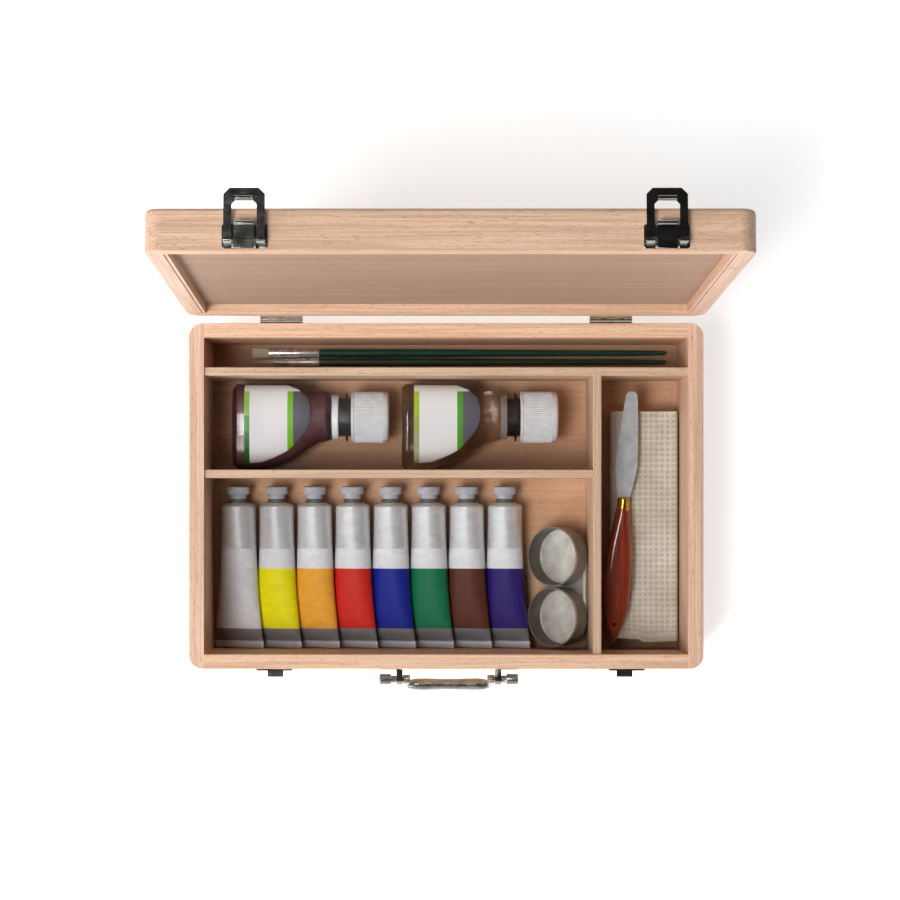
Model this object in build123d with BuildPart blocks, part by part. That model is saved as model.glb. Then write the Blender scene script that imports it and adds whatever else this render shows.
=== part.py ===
from build123d import *
from math import asin, atan2, cos, degrees, hypot, pi, radians, sin, sqrt
import os

os.makedirs("parts", exist_ok=True)

# Driving dimensions in millimetres. The origin is the middle of the case's underside, the front
# faces -Y and the lid is hinged along the back. The lid and what it carries are drawn closed and
# then swung open, because they are stored in the open pose.
case_width = 375.0
case_depth = 252.0
base_height = 80.0
lid_height = 26.7
side_wall = 11.0
end_wall = 10.5
corner_radius = 10.0
foot_round = 2.0
lid_round = 2.6
rim_ease = 0.6
base_fingers = 19
lid_fingers = 6

# Boards let into the walls
floor_thickness = 6.0
floor_inset = 5.5
divider = 6.0
divider_drop = 2.0
groove = 3.0
long_divider_y = 91.0
short_divider_y = 16.3
upright_divider_x = 110.3
lid_panel = 5.0
inner_board = 3.0
inner_board_depth = 7.0
batten_width = 2.0
batten_recess = 0.4
batten_gap = 0.5

# Hinges along the back
hinge_x = 120.0
hinge_setback = 2.7
hinge_drop = 2.2
hinge_length = 31.0
knuckles = 5
knuckle_radius = 2.5
knuckle_gap = 0.2
hinge_pin_radius = 1.2
running_clearance = 0.05
leaf_thickness = 1.0
leaf_reach = 18.0
lid_open_angle = 94.0

# Screws
screw_head = 2.3
screw_head_height = 1.0
screw_neck = 1.1
screw_shank = 1.0
screw_length = 6.5
recess_length = 2.3
recess_width = 0.5
recess_depth = 0.6

# Toggle latches: u is the distance out from the front face, w the height above the seam
latch_centres = (-125.5, 131.5)
latch_plate_size = (27.8, 15.0)
latch_plate_low = 1.3
latch_plate_thickness = 1.0
latch_pin_radius = 0.8
latch_pin_u = 4.5
lever_pivot_w = 2.8
loop_pivot_w = 6.0
ear_radius = 2.0
ear_x = 6.8
sheet = 1.0
lever_width = 12.2
lever_low = 0.5
lever_reach = 16.1
lever_lip_radius = 1.3
loop_width = 25.2
loop_leg = 4.9
loop_window = 24.4
loop_bar = 7.5
loop_chamfer = 3.8
loop_window_chamfer = 2.4
loop_eye_radius = 1.8
curl_width = 11.4
curl_radius = 1.7
curl_bore = 0.75

# Strike plates under the latches
strike_width = 27.5
strike_top = -1.0
strike_low = -24.0
strike_thickness = 1.3
hook_width = 11.7
hook_top = -16.6
hook_sheet = 1.2
hook_reach = 7.4
hook_lip = 3.0
hook_window = 4.6

# Drop handle
handle_x = 2.2
handle_w = -30.0
handle_u = 9.9
handle_gap = 68.4
handle_ear = 4.6
handle_ear_radius = 4.9
bracket_size = (17.5, 25.0)
bracket_thickness = 1.8
boss_radius = 4.1
boss_length = 8.6
boss_neck = 3.9
boss_neck_radius = 2.8
bail_pin_radius = 2.0
bail_eye_radius = 3.2
bail_arm_radius = 2.6
bail_side_gap = 0.3
bail_drop = 23.0
bail_tilt = 14.5
bail_corner = 4.0
grip_radii = (3.9, 4.5, 4.1)
grip_lobe_x = 18.0

# Catch plate let into the lid's right-hand rim
catch_size = (9.4, 3.4, 3.0)
catch_from_hinge = 196.8

# Contents, which lie on the floor of the compartments
lying_gap = 0.2
brush_start_x = -147.2
brush_y = (109.0, 102.1)
hair_length = (13.0, 16.3)
hair_rounding = (1.6, 0.8)
hair_point = (0.6, 6.0)
hair_size = (6.4, 3.2)
hair_columns = 20
hair_rows = 10
hair_radius = 0.13
hair_backing = 1.5
ferrule_end = 51.2
ferrule_radius = 3.1
ferrule_wall = 0.3
ferrule_bead = 0.2
brush_handle_length = 264.0

bottle_x = (-159.4, -32.7)
bottle_y = 52.4
bottle_neck_y = 59.6
bottle_cap_radius = 19.4
bottle_cap_length = 28.6
bottle_thread_radius = 13.6

tube_count = 8
tube_first_x = -156.5
tube_last_x = 45.1
tube_crimp_y = -114.9
tube_gap = 0.3
tube_radius = 12.9
tube_crimp_half = 20.2
tube_end_half = (19.7, 1.5)
tube_crimp_thick = 2.4
tube_fold = 5.3
tube_body = 103.2
tube_shoulder = 2.2
tube_neck_ring = 2.3
tube_roll = 19.0
tube_thread_radius = 4.2
tube_thread_length = 5.6
tube_cap_gap = 0.2

cup_x = 79.7
cup_y = (-45.4, -90.9)
cup_radius = 22.2
cup_depth = 15.6
cup_wall = 0.8
cup_lean = 38.5
clip_width = 40.0
clip_sheet = 0.8
clip_low = -14.0
clip_high = 17.7
clip_opening = 3.0

cloth_x = (124.8, 175.2)
cloth_y = (-109.8, 63.9)
cloth_layers = 6
cloth_thickness = 3.4
cloth_gap = 0.5

knife_end = (125.2, -109.4)
knife_tip = (139.9, 78.4)
knife_handle_length = 99.0
knife_handle_half = (9.9, 6.0)
knife_ferrule_length = 9.7
knife_ferrule_radius = 4.75
knife_tang_radius = 1.7
knife_root_half = 3.4
knife_root_depth = 3.0
knife_blade_thickness = 0.9

# Places worked out from the dimensions above
half_width = case_width / 2
half_depth = case_depth / 2
inner_x = half_width - side_wall
inner_y = half_depth - end_wall
hinge_axis = Axis((0, half_depth + hinge_setback, base_height - hinge_drop), (1, 0, 0))
front = Plane(origin=(0, -half_depth, base_height), x_dir=(1, 0, 0), z_dir=(0, -1, 0))
CENTRED = (Align.CENTER, Align.CENTER, Align.CENTER)
HANGING = (Align.CENTER, Align.CENTER, Align.MAX)
STANDING = (Align.CENTER, Align.CENTER, Align.MIN)
ALONG_X = (0, 90, 0)


def front_point(x, u, w):
    """A point given by its place along the front, its distance out from it and its height."""
    return (x, -half_depth - u, base_height + w)


def write(solid, label):
    """Labels a finished piece and writes its file."""
    solid.label = label
    export_step(solid, f"parts/{label}.step")


def write_on_lid(solid, label):
    """Swings a piece that was drawn with the lid closed to the open pose, and writes it."""
    write(solid.rotate(hinge_axis, -lid_open_angle), label)


def turned(plane, stations, smooth=False):
    """A solid turned about the plane's x axis, through (distance, radius) stations."""
    closing = [stations[-1], (stations[-1][0], 0), (stations[0][0], 0), stations[0]]
    closing = [p for i, p in enumerate(closing) if i == 0 or p != closing[i - 1]]
    with BuildPart() as solid:
        with BuildSketch(plane):
            with BuildLine():
                if smooth:
                    Spline(*stations)
                else:
                    Polyline(*stations)
                Polyline(*closing)
            make_face()
        revolve(axis=Axis(plane.origin, plane.x_dir))
    return solid.part


# Screws: one place for each, on the outside of the metal that it holds, pointing outwards

back = Plane(origin=(0, half_depth, base_height), x_dir=(-1, 0, 0), z_dir=(0, 1, 0))


def screw_bodies(places):
    """Countersunk screws without their driver recess, which is also the shape of their holes."""
    with BuildPart() as bodies:
        with Locations(*places):
            Cone(screw_neck, screw_head, screw_head_height, align=HANGING)
            Cylinder(screw_shank, screw_length, align=HANGING)
    return bodies.part


def screws_with_recess(places):
    """Screws with a cross recess in the head."""
    with BuildPart() as screws:
        add(screw_bodies(places))
        with Locations(*places):
            Box(recess_length, recess_width, recess_depth, align=HANGING, mode=Mode.SUBTRACT)
            Box(recess_width, recess_length, recess_depth, align=HANGING, mode=Mode.SUBTRACT)
    return screws.part


def on_plane(plane, out, spots):
    """Planes parallel to a face, at spots on it, moved outwards."""
    return [Plane(origin=plane.from_local_coords((x, y, out)), z_dir=plane.z_dir) for x, y in spots]


leaf_screw_x = hinge_length / 2 - 5.5
leaf_screw_y = leaf_reach - 6.0
base_leaf_spots = [(h + s * leaf_screw_x, -hinge_drop - leaf_screw_y)
                   for h in (-hinge_x, hinge_x) for s in (-1, 1)]
lid_leaf_spots = [(h + s * leaf_screw_x, leaf_screw_y)
                  for h in (-hinge_x, hinge_x) for s in (-1, 1)]
strike_spots = [(x + s * 9.4, -6.5) for x in latch_centres for s in (-1, 1)]
latch_spots = [(x + s * 10.4, 14.4) for x in latch_centres for s in (-1, 1)]
bracket_middle = handle_gap / 2 + handle_ear + (bracket_size[0] - handle_ear) / 2
bracket_spots = [(handle_x + s * bracket_middle, handle_w + v) for s in (-1, 1) for v in (-8.5, 8.5)]

base_screw_places = (on_plane(back, leaf_thickness, base_leaf_spots)
                     + on_plane(front, strike_thickness, strike_spots)
                     + on_plane(front, bracket_thickness, bracket_spots))
lid_screw_places = (on_plane(back, leaf_thickness, lid_leaf_spots)
                    + on_plane(front, latch_plate_thickness, latch_spots))
base_screw_holes = screw_bodies(base_screw_places)
lid_screw_holes = screw_bodies(lid_screw_places)
write(screws_with_recess(base_screw_places), "base_screws")
write_on_lid(screws_with_recess(lid_screw_places), "lid_screws")


# Case walls: finger-jointed boards, cut to the rounded outside of the case

def outside(bottom, height, low_round, high_round):
    """The outer shape that the four walls share."""
    with BuildPart() as block:
        with BuildSketch(Plane.XY.offset(bottom)):
            RectangleRounded(case_width, case_depth, corner_radius)
        extrude(amount=height)
        fillet(block.faces().sort_by(Axis.Z)[0].edges(), low_round)
        fillet(block.faces().sort_by(Axis.Z)[-1].edges(), high_round)
    return block.part


def fingers(bottom, height, count, first):
    """The corner blocks of every second level, at all four corners."""
    level_height = height / count
    with BuildPart() as blocks:
        for level in range(first, count, 2):
            with BuildSketch(Plane.XY.offset(bottom + level * level_height)):
                with GridLocations(case_width - side_wall, case_depth - end_wall, 2, 2):
                    Rectangle(side_wall, end_wall)
            extrude(amount=level_height)
    return blocks.part


def wall(side, bottom, height, other_fingers, shape, let_in):
    """One board, less the other walls' fingers and everything that is let into it."""
    x, y = {"left": (-1, 0), "right": (1, 0), "front": (0, -1), "back": (0, 1)}[side]
    board = (side_wall, case_depth) if x else (case_width, end_wall)
    with BuildPart() as piece:
        with BuildSketch(Plane.XY.offset(bottom)):
            with Locations((x * (half_width - side_wall / 2), y * (half_depth - end_wall / 2))):
                Rectangle(*board)
        extrude(amount=height)
        add(other_fingers, mode=Mode.SUBTRACT)
        add(shape, mode=Mode.INTERSECT)
        for other in let_in:
            add(other, mode=Mode.SUBTRACT)
    return piece.part


def board(x_span, y_span, z_span, top_ease=0.0):
    """A flat board, with its long upper edges eased."""
    with BuildPart() as piece:
        with BuildSketch(Plane.XY.offset(z_span[0])):
            with Locations(((x_span[0] + x_span[1]) / 2, (y_span[0] + y_span[1]) / 2)):
                Rectangle(x_span[1] - x_span[0], y_span[1] - y_span[0])
        extrude(amount=z_span[1] - z_span[0])
        if top_ease:
            along = Axis.X if x_span[1] - x_span[0] > y_span[1] - y_span[0] else Axis.Y
            fillet(piece.faces().sort_by(Axis.Z)[-1].edges().filter_by(along), top_ease)
    return piece.part


def around(middle, thickness):
    """The two faces of a board, from its middle plane."""
    return (middle - thickness / 2, middle + thickness / 2)


floor_span_x = half_width - floor_inset
floor_span_y = half_depth - floor_inset + 0.25
divider_z = (floor_thickness, base_height - divider_drop)
bottom_board = board((-floor_span_x, floor_span_x), (-floor_span_y, floor_span_y),
                     (0, floor_thickness))
divider_long = board((-inner_x - groove, inner_x + groove), around(long_divider_y, divider),
                     divider_z, rim_ease)
upright_y = (-inner_y - groove, long_divider_y - divider / 2 + groove)
short_x = (-inner_x - groove, upright_divider_x - divider / 2 + groove)
divider_short = board(short_x, around(short_divider_y, divider), divider_z, rim_ease)
with BuildPart() as upright_divider:
    add(board(around(upright_divider_x, divider), upright_y, divider_z, rim_ease))
    add(divider_short, mode=Mode.SUBTRACT)
with BuildPart() as housed_long_divider:
    add(divider_long)
    add(upright_divider.part, mode=Mode.SUBTRACT)
write(bottom_board, "bottom_board")
write(housed_long_divider.part, "divider_long")
cross_dividers = [*upright_divider.part.solids(), *divider_short.solids()]
write(Compound(children=cross_dividers), "cross_dividers")

base_shape = outside(0, base_height, foot_round, rim_ease)
side_fingers = fingers(0, base_height, base_fingers, 0)
end_fingers = fingers(0, base_height, base_fingers, 1)
let_into_base = [bottom_board, divider_long, upright_divider.part, divider_short, base_screw_holes]
for side, taken in (("left", end_fingers), ("right", end_fingers),
                    ("front", side_fingers), ("back", side_fingers)):
    write(wall(side, 0, base_height, taken, base_shape, let_into_base), f"base_wall_{side}")


# Lid, drawn closed: its outer panel sits in a rebate, its inner board in a groove all round

seam = base_height
lid_top = seam + lid_height
lid_panel_board = board((-floor_span_x, floor_span_x), (-floor_span_y, floor_span_y),
                        (lid_top - lid_panel, lid_top))
board_z = seam + inner_board_depth
lid_inner_board = board((-inner_x - groove, inner_x + groove), (-inner_y - groove, inner_y + groove),
                        (board_z, board_z + inner_board))

catch_y = hinge_axis.position.Y - catch_from_hinge
with BuildPart() as lid_catch:
    with Locations((half_width - side_wall / 2, catch_y, seam)):
        Box(*catch_size, align=STANDING)
    fillet(lid_catch.edges().filter_by(Axis.Z), catch_size[1] / 2.5)

with BuildPart() as lid_battens:
    batten_x = inner_x - batten_gap - batten_width / 2
    with BuildSketch(Plane.XY.offset(seam + batten_recess)):
        with Locations((-batten_x, 0), (batten_x, 0)):
            Rectangle(batten_width, 2 * inner_y)
    extrude(amount=inner_board_depth - batten_recess)

lid_shape = outside(seam, lid_height, rim_ease, lid_round)
side_fingers = fingers(seam, lid_height, lid_fingers, 0)
end_fingers = fingers(seam, lid_height, lid_fingers, 1)
let_into_lid = [lid_panel_board, lid_inner_board, lid_catch.part, lid_screw_holes]
for side, taken in (("left", end_fingers), ("right", end_fingers),
                    ("front", side_fingers), ("back", side_fingers)):
    piece = wall(side, seam, lid_height, taken, lid_shape, let_into_lid)
    write_on_lid(piece, f"lid_wall_{side}")
write_on_lid(lid_panel_board, "lid_panel")
write_on_lid(lid_inner_board, "lid_inner_board")
write_on_lid(lid_battens.part, "lid_battens")
write_on_lid(lid_catch.part, "lid_catch")


# Hinges: two leaves with interleaved knuckles on a common pin

knuckle_length = hinge_length / knuckles
hinge_y = hinge_axis.position.Y
hinge_z = hinge_axis.position.Z


def knuckle_places(centre, owned):
    """The middles of every second knuckle, from the first or the second one."""
    first = 0 if owned == "base" else 1
    return [(centre - hinge_length / 2 + (k + 0.5) * knuckle_length, hinge_y, hinge_z)
            for k in range(first, knuckles, 2)]


def hinge_leaves(owner, other, top, bottom, holes):
    """Both hinges' leaves of one side, which end in the knuckles of that side."""
    with BuildPart() as leaves:
        for centre in (-hinge_x, hinge_x):
            with Locations((centre, half_depth, bottom)):
                Box(hinge_length, leaf_thickness, top - bottom,
                    align=(Align.CENTER, Align.MIN, Align.MIN))
            with Locations(*knuckle_places(centre, other)):
                Cylinder(knuckle_radius + 2 * knuckle_gap, knuckle_length + knuckle_gap,
                         rotation=ALONG_X, mode=Mode.SUBTRACT)
            with Locations(*knuckle_places(centre, owner)):
                Cylinder(knuckle_radius, knuckle_length - knuckle_gap, rotation=ALONG_X)
            with Locations((centre, hinge_y, hinge_z)):
                Cylinder(hinge_pin_radius + running_clearance, 2 * hinge_length,
                         rotation=ALONG_X, mode=Mode.SUBTRACT)
        add(holes, mode=Mode.SUBTRACT)
    return leaves.part


with BuildPart() as hinge_pins:
    for centre in (-hinge_x, hinge_x):
        with Locations((centre, hinge_y, hinge_z)):
            Cylinder(hinge_pin_radius, hinge_length, rotation=ALONG_X)

write(hinge_leaves("base", "lid", hinge_z, hinge_z - leaf_reach, base_screw_holes),
      "hinge_base_leaves")
write_on_lid(hinge_leaves("lid", "base", seam + leaf_reach, hinge_z, lid_screw_holes),
             "hinge_lid_leaves")
write(hinge_pins.part, "hinge_pins")


# Toggle latches, drawn on the closed lid with lever and loop folded up flat against it

with BuildPart() as latch_plates:
    with BuildSketch(front):
        with Locations(*[(x, latch_plate_low + latch_plate_size[1] / 2) for x in latch_centres]):
            RectangleRounded(*latch_plate_size, 1.5)
    extrude(amount=latch_plate_thickness)
    for x in latch_centres:
        with Locations(*[front_point(x + s * ear_x, latch_pin_u, lever_pivot_w) for s in (-1, 1)]):
            Cylinder(ear_radius, sheet, rotation=ALONG_X)
            Box(sheet, latch_pin_u - latch_plate_thickness / 2, 2 * ear_radius,
                align=(Align.CENTER, Align.MIN, Align.CENTER))
    for x in latch_centres:
        with Locations(front_point(x, latch_pin_u, lever_pivot_w)):
            Cylinder(latch_pin_radius, loop_width, rotation=ALONG_X, mode=Mode.SUBTRACT)
    add(lid_screw_holes, mode=Mode.SUBTRACT)
with BuildPart() as lever_pins:
    for x in latch_centres:
        with Locations(front_point(x, latch_pin_u, lever_pivot_w)):
            Cylinder(latch_pin_radius, 2 * ear_x + sheet, rotation=ALONG_X)
write_on_lid(Compound(children=[*latch_plates.part.solids(), *lever_pins.part.solids()]),
             "latch_plates")


def latch_lever(x):
    """A lever bent from sheet, with two cheeks and a rolled lip, and the pin that carries the loop."""
    skin_u = latch_pin_u + 1.5
    cheek_top = loop_pivot_w + 2.0
    with BuildPart() as lever:
        with BuildSketch(front.offset(skin_u)):
            with Locations((x, (lever_low + lever_reach) / 2)):
                RectangleRounded(lever_width, lever_reach - lever_low, 0.6)
        extrude(amount=sheet)
        cheek_depth = skin_u + sheet / 2 - (latch_pin_u - 1.5)
        cheek_middle = latch_pin_u - 1.5 + cheek_depth / 2
        for s in (-1, 1):
            with Locations(front_point(x + s * (lever_width - sheet) / 2, cheek_middle,
                                       (lever_low + cheek_top) / 2)):
                Box(sheet, cheek_depth, cheek_top - lever_low)
        with Locations(front_point(x, skin_u + sheet, lever_reach)):
            Cylinder(lever_lip_radius, lever_width, rotation=ALONG_X)
        with Locations(front_point(x, latch_pin_u, lever_pivot_w)):
            Cylinder(latch_pin_radius + running_clearance, lever_width + 1,
                     rotation=ALONG_X, mode=Mode.SUBTRACT)
        with Locations(front_point(x, latch_pin_u, loop_pivot_w)):
            Cylinder(latch_pin_radius, lever_width + 1, rotation=ALONG_X, mode=Mode.SUBTRACT)
    with BuildPart() as loop_pin:
        with Locations(front_point(x, latch_pin_u, loop_pivot_w)):
            Cylinder(latch_pin_radius, loop_width + 0.6, rotation=ALONG_X)
    return Compound(children=[*lever.part.solids(), *loop_pin.part.solids()])


def latch_loop(x):
    """A flat sheet loop with eyes at its pivot and a curl on its end bar that grips the hook."""
    end_w = loop_pivot_w + loop_window + loop_bar
    window_w = loop_pivot_w + loop_window
    leg_x = loop_width / 2 - loop_leg / 2
    window_half = loop_width / 2 - loop_leg
    window_corners = [(window_half, loop_pivot_w), (window_half, window_w - loop_window_chamfer),
                      (window_half - loop_window_chamfer, window_w)]
    with BuildPart() as loop:
        with BuildSketch(front.offset(latch_pin_u - sheet / 2)):
            with Locations((x, (loop_pivot_w + end_w) / 2)):
                outline = Rectangle(loop_width, end_w - loop_pivot_w)
            chamfer(outline.vertices().group_by(Axis.Y)[-1], loop_chamfer)
            Polygon(*[(x + s * a, b) for s, corners in ((1, window_corners), (-1, window_corners[::-1]))
                      for a, b in corners], align=None, mode=Mode.SUBTRACT)
        extrude(amount=sheet)
        for s in (-1, 1):
            with Locations(front_point(x + s * leg_x, latch_pin_u, loop_pivot_w)):
                Cylinder(loop_eye_radius, loop_leg, rotation=ALONG_X)
        curl_w = window_w + curl_radius - sheet / 2
        with Locations(front_point(x, latch_pin_u - sheet / 2 + curl_radius, curl_w)):
            Cylinder(curl_radius, curl_width, rotation=ALONG_X)
            Cylinder(curl_bore, curl_width, rotation=ALONG_X, mode=Mode.SUBTRACT)
        with Locations(front_point(x, latch_pin_u, loop_pivot_w)):
            Cylinder(latch_pin_radius + running_clearance, loop_width + 1,
                     rotation=ALONG_X, mode=Mode.SUBTRACT)
    return loop.part


for x, side in zip(latch_centres, ("left", "right")):
    write_on_lid(latch_lever(x), f"latch_lever_{side}")
    write_on_lid(latch_loop(x), f"latch_loop_{side}")

with BuildPart() as strikes:
    strike_middle = (strike_top + strike_low) / 2
    with BuildSketch(front):
        with Locations(*[(x, strike_middle) for x in latch_centres]):
            RectangleRounded(strike_width, strike_top - strike_low, 1.5)
        with Locations(*[(x, hook_top - hook_sheet - hook_window / 2) for x in latch_centres]):
            Rectangle(hook_width, hook_window, mode=Mode.SUBTRACT)
    extrude(amount=strike_thickness)
    for x in latch_centres:
        with Locations(front_point(x, 0, hook_top)):
            Box(hook_width, hook_reach, hook_sheet, align=(Align.CENTER, Align.MAX, Align.MAX))
        with Locations(front_point(x, hook_reach, hook_top)):
            Box(hook_width, hook_sheet, hook_sheet + hook_lip,
                align=(Align.CENTER, Align.MIN, Align.MAX))
    fillet(strikes.edges().filter_by(Axis.X).sort_by(Axis.Y).group_by(Axis.Y)[0]
           .sort_by(Axis.Z)[-len(latch_centres):], hook_sheet * 0.8)
    add(base_screw_holes, mode=Mode.SUBTRACT)
write(strikes.part, "strike_plates")


# Drop handle: two angle brackets, and a cast bail with a boss outside each ear

with BuildPart() as handle_brackets:
    for s in (-1, 1):
        inner_edge = handle_x + s * handle_gap / 2
        with BuildSketch(front):
            with Locations((inner_edge + s * bracket_size[0] / 2, handle_w)):
                RectangleRounded(*bracket_size, 2.0)
        extrude(amount=bracket_thickness)
        ear_middle = inner_edge + s * handle_ear / 2
        with Locations(front_point(ear_middle, handle_u, handle_w)):
            Cylinder(handle_ear_radius, handle_ear, rotation=ALONG_X)
        with Locations(front_point(ear_middle, 0, handle_w)):
            Box(handle_ear, handle_u, 2 * handle_ear_radius,
                align=(Align.CENTER, Align.MAX, Align.CENTER))
    with Locations(front_point(handle_x, handle_u, handle_w)):
        Cylinder(bail_pin_radius + running_clearance, 2 * handle_gap, rotation=ALONG_X,
                 mode=Mode.SUBTRACT)
    add(base_screw_holes, mode=Mode.SUBTRACT)
write(handle_brackets.part, "handle_brackets")

pivot = front_point(handle_x, handle_u, handle_w)
bail_up = (0, sin(radians(bail_tilt)), cos(radians(bail_tilt)))
bail_plane = Plane(origin=pivot, x_dir=(1, 0, 0),
                   z_dir=Vector(1, 0, 0).cross(Vector(*bail_up)))
arm_x = handle_gap / 2 - bail_side_gap - bail_arm_radius
grip_half = arm_x - bail_corner
with BuildPart() as handle_bail:
    with BuildLine(bail_plane) as bail_path:
        FilletPolyline((-arm_x, 0), (-arm_x, -bail_drop), (arm_x, -bail_drop), (arm_x, 0),
                       radius=bail_corner)
    with BuildSketch(Plane(origin=bail_path.line @ 0, z_dir=bail_path.line % 0)):
        Circle(bail_arm_radius)
    sweep(path=bail_path.line)
    grip_plane = Plane(origin=bail_plane.from_local_coords((0, -bail_drop, 0)), x_dir=(1, 0, 0),
                       z_dir=bail_plane.z_dir)
    end_radius, lobe_radius, middle_radius = grip_radii
    lobes = [(-grip_half, end_radius), (-grip_lobe_x, lobe_radius), (0, middle_radius),
             (grip_lobe_x, lobe_radius), (grip_half, end_radius)]
    add(turned(grip_plane, [(-arm_x, bail_arm_radius), *lobes, (arm_x, bail_arm_radius)], smooth=True))
    with Locations(*[front_point(handle_x + s * arm_x, handle_u, handle_w) for s in (-1, 1)]):
        Cylinder(bail_eye_radius, 2 * bail_arm_radius, rotation=ALONG_X)
    neck_x = handle_gap / 2 + handle_ear + bail_side_gap + boss_neck / 2
    boss_x = neck_x + (boss_neck + boss_length) / 2
    with Locations(*[front_point(handle_x + s * boss_x, handle_u, handle_w) for s in (-1, 1)]):
        Cylinder(boss_radius, boss_length, rotation=ALONG_X)
    fillet(handle_bail.edges().filter_by(GeomType.CIRCLE).group_by(Axis.X)[0]
           + handle_bail.edges().filter_by(GeomType.CIRCLE).group_by(Axis.X)[-1], 1.2)
    with Locations(*[front_point(handle_x + s * neck_x, handle_u, handle_w) for s in (-1, 1)]):
        Cylinder(boss_neck_radius, boss_neck, rotation=ALONG_X)
    pin_x = (arm_x + boss_x) / 2
    with Locations(*[front_point(handle_x + s * pin_x, handle_u, handle_w) for s in (-1, 1)]):
        Cylinder(bail_pin_radius, boss_x - arm_x, rotation=ALONG_X)
write(handle_bail.part, "handle_bail")


# Brushes: bristles, a ferrule flattened at its mouth, and a long turned handle

def brush(name, y, upright, hair_length, rounding, point):
    """One brush lying along the tray, its bristles to the left, rounded and drawn to a point."""
    ferrule_length = ferrule_end - hair_length
    mouth_half = [size / 2 + ferrule_wall + 0.1 for size in hair_size]
    lowest = mouth_half[0] if upright else ferrule_radius + ferrule_bead
    z = floor_thickness + lying_gap + lowest
    width_dir = (0, 0, 1) if upright else (0, 1, 0)
    mouth_x = brush_start_x + hair_length
    mouth = Plane(origin=(mouth_x, y, z), x_dir=width_dir, z_dir=(-1, 0, 0))
    pitch_w, pitch_t = hair_size[0] / (hair_columns + 1), hair_size[1] / (hair_rows + 1)
    strands = []
    for column in range(hair_columns):
        across = (column - (hair_columns - 1) / 2) * pitch_w
        round_end = max(0, abs(across) - (hair_size[0] - hair_size[1]) / 2)
        room = sqrt((hair_size[1] / 2) ** 2 - round_end ** 2) - 2 * hair_radius
        for row in range(hair_rows):
            height = (row + (column % 2 - 0.5) / 2 - (hair_rows - 1) / 2) * pitch_t
            if abs(height) < room:
                length = hair_length - 0.5 * ((column + row) % 3)
                length -= rounding * (2 * across / hair_size[0]) ** 2
                length -= point * abs(2 * height / hair_size[1])
                with BuildPart() as hair:
                    with BuildSketch(mouth):
                        with Locations((across, height)):
                            RegularPolygon(hair_radius, 3)
                    extrude(amount=length)
                strands += hair.part.solids()
    with BuildPart() as bristles:
        with BuildSketch(mouth.offset(-hair_backing)):
            SlotOverall(hair_size[0] - 0.1, hair_size[1] - 0.1)
        extrude(amount=hair_backing)
        add(strands)
    write(bristles.part, f"{name}_bristles")
    print(name, len(strands), "strands")

    with BuildPart() as ferrule:
        for shrink, mode in ((0, Mode.ADD), (ferrule_wall, Mode.SUBTRACT)):
            with BuildSketch(mouth):
                Ellipse(mouth_half[0] - shrink, mouth_half[1] - shrink)
            with BuildSketch(mouth.offset(-0.62 * ferrule_length)):
                Ellipse(ferrule_radius - shrink, ferrule_radius - shrink)
            loft(ruled=True, mode=mode)
        with BuildSketch(mouth.offset(-0.62 * ferrule_length)):
            Circle(ferrule_radius)
            Circle(ferrule_radius - ferrule_wall, mode=Mode.SUBTRACT)
        extrude(amount=-0.38 * ferrule_length)
        for along in (0.74, 0.88):
            with Locations(mouth.offset(-along * ferrule_length)):
                Torus(ferrule_radius, ferrule_bead)
    bore = ferrule_radius - ferrule_wall
    handle_plane = Plane(origin=(mouth_x, y, z), x_dir=(1, 0, 0), z_dir=(0, 0, 1))
    start = ferrule_length
    handle = turned(handle_plane, [(0.66 * ferrule_length, bore), (start + 0.3, bore)])
    body = turned(handle_plane, [(start + 0.3, ferrule_radius), (start + 40, 3.2), (start + 110, 2.9),
                                 (start + 190, 2.35), (start + 250, 2.0),
                                 (start + brush_handle_length - 1.5, 1.7)], smooth=True)
    tail = turned(handle_plane, [(start + brush_handle_length - 1.5, 1.7),
                                 (start + brush_handle_length - 0.4, 1.3),
                                 (start + brush_handle_length, 0.7)])
    with BuildPart() as handle_part:
        add([handle, body, tail])
    write(handle_part.part, f"{name}_handle")
    with BuildPart() as clear_ferrule:
        add(ferrule.part)
        add(handle_part.part, mode=Mode.SUBTRACT)
        add(bristles.part, mode=Mode.SUBTRACT)
    write(clear_ferrule.part, f"{name}_ferrule")


for k, (name, upright) in enumerate((("brush_back", False), ("brush_front", True))):
    brush(name, brush_y[k], upright, hair_length[k], hair_rounding[k], hair_point[k])


# Bottles: a flattened body with uneven shoulders, a stepped neck and a ribbed screw cap

bottle_axis_z = floor_thickness + lying_gap + bottle_cap_radius
bottle_sections = (
    # distance from the base, middle in Y, half width, half thickness, squareness
    (0.0, bottle_y, 29.5, 16.2, 3.0),
    (2.2, bottle_y, 31.7, 18.6, 3.0),
    (6.5, bottle_y, 32.2, 19.2, 3.0),
    (24.0, bottle_y, 32.2, 19.2, 3.0),
    (36.0, bottle_y + 1.8, 30.5, 19.2, 2.8),
    (46.0, bottle_y + 4.2, 28.1, 19.1, 2.6),
    (52.0, bottle_y + 5.7, 25.7, 19.0, 2.5),
    (57.0, bottle_y + 5.7, 22.4, 18.7, 2.4),
    (60.5, bottle_y + 5.8, 20.5, 18.4, 2.3),
    (65.0, bottle_y + 7.2, 19.5, 18.2, 2.2),
    (69.0, bottle_y + 7.8, 19.1, 18.0, 2.1),
    (73.0, bottle_neck_y, 17.4, 17.4, 2.0),
)
bottle_section_points = 20
bottle_body_length = bottle_sections[-1][0]
neck_steps = ((5.9, 16.8), (5.5, 14.7), (1.8, 18.5), (2.4, 14.7))


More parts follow.
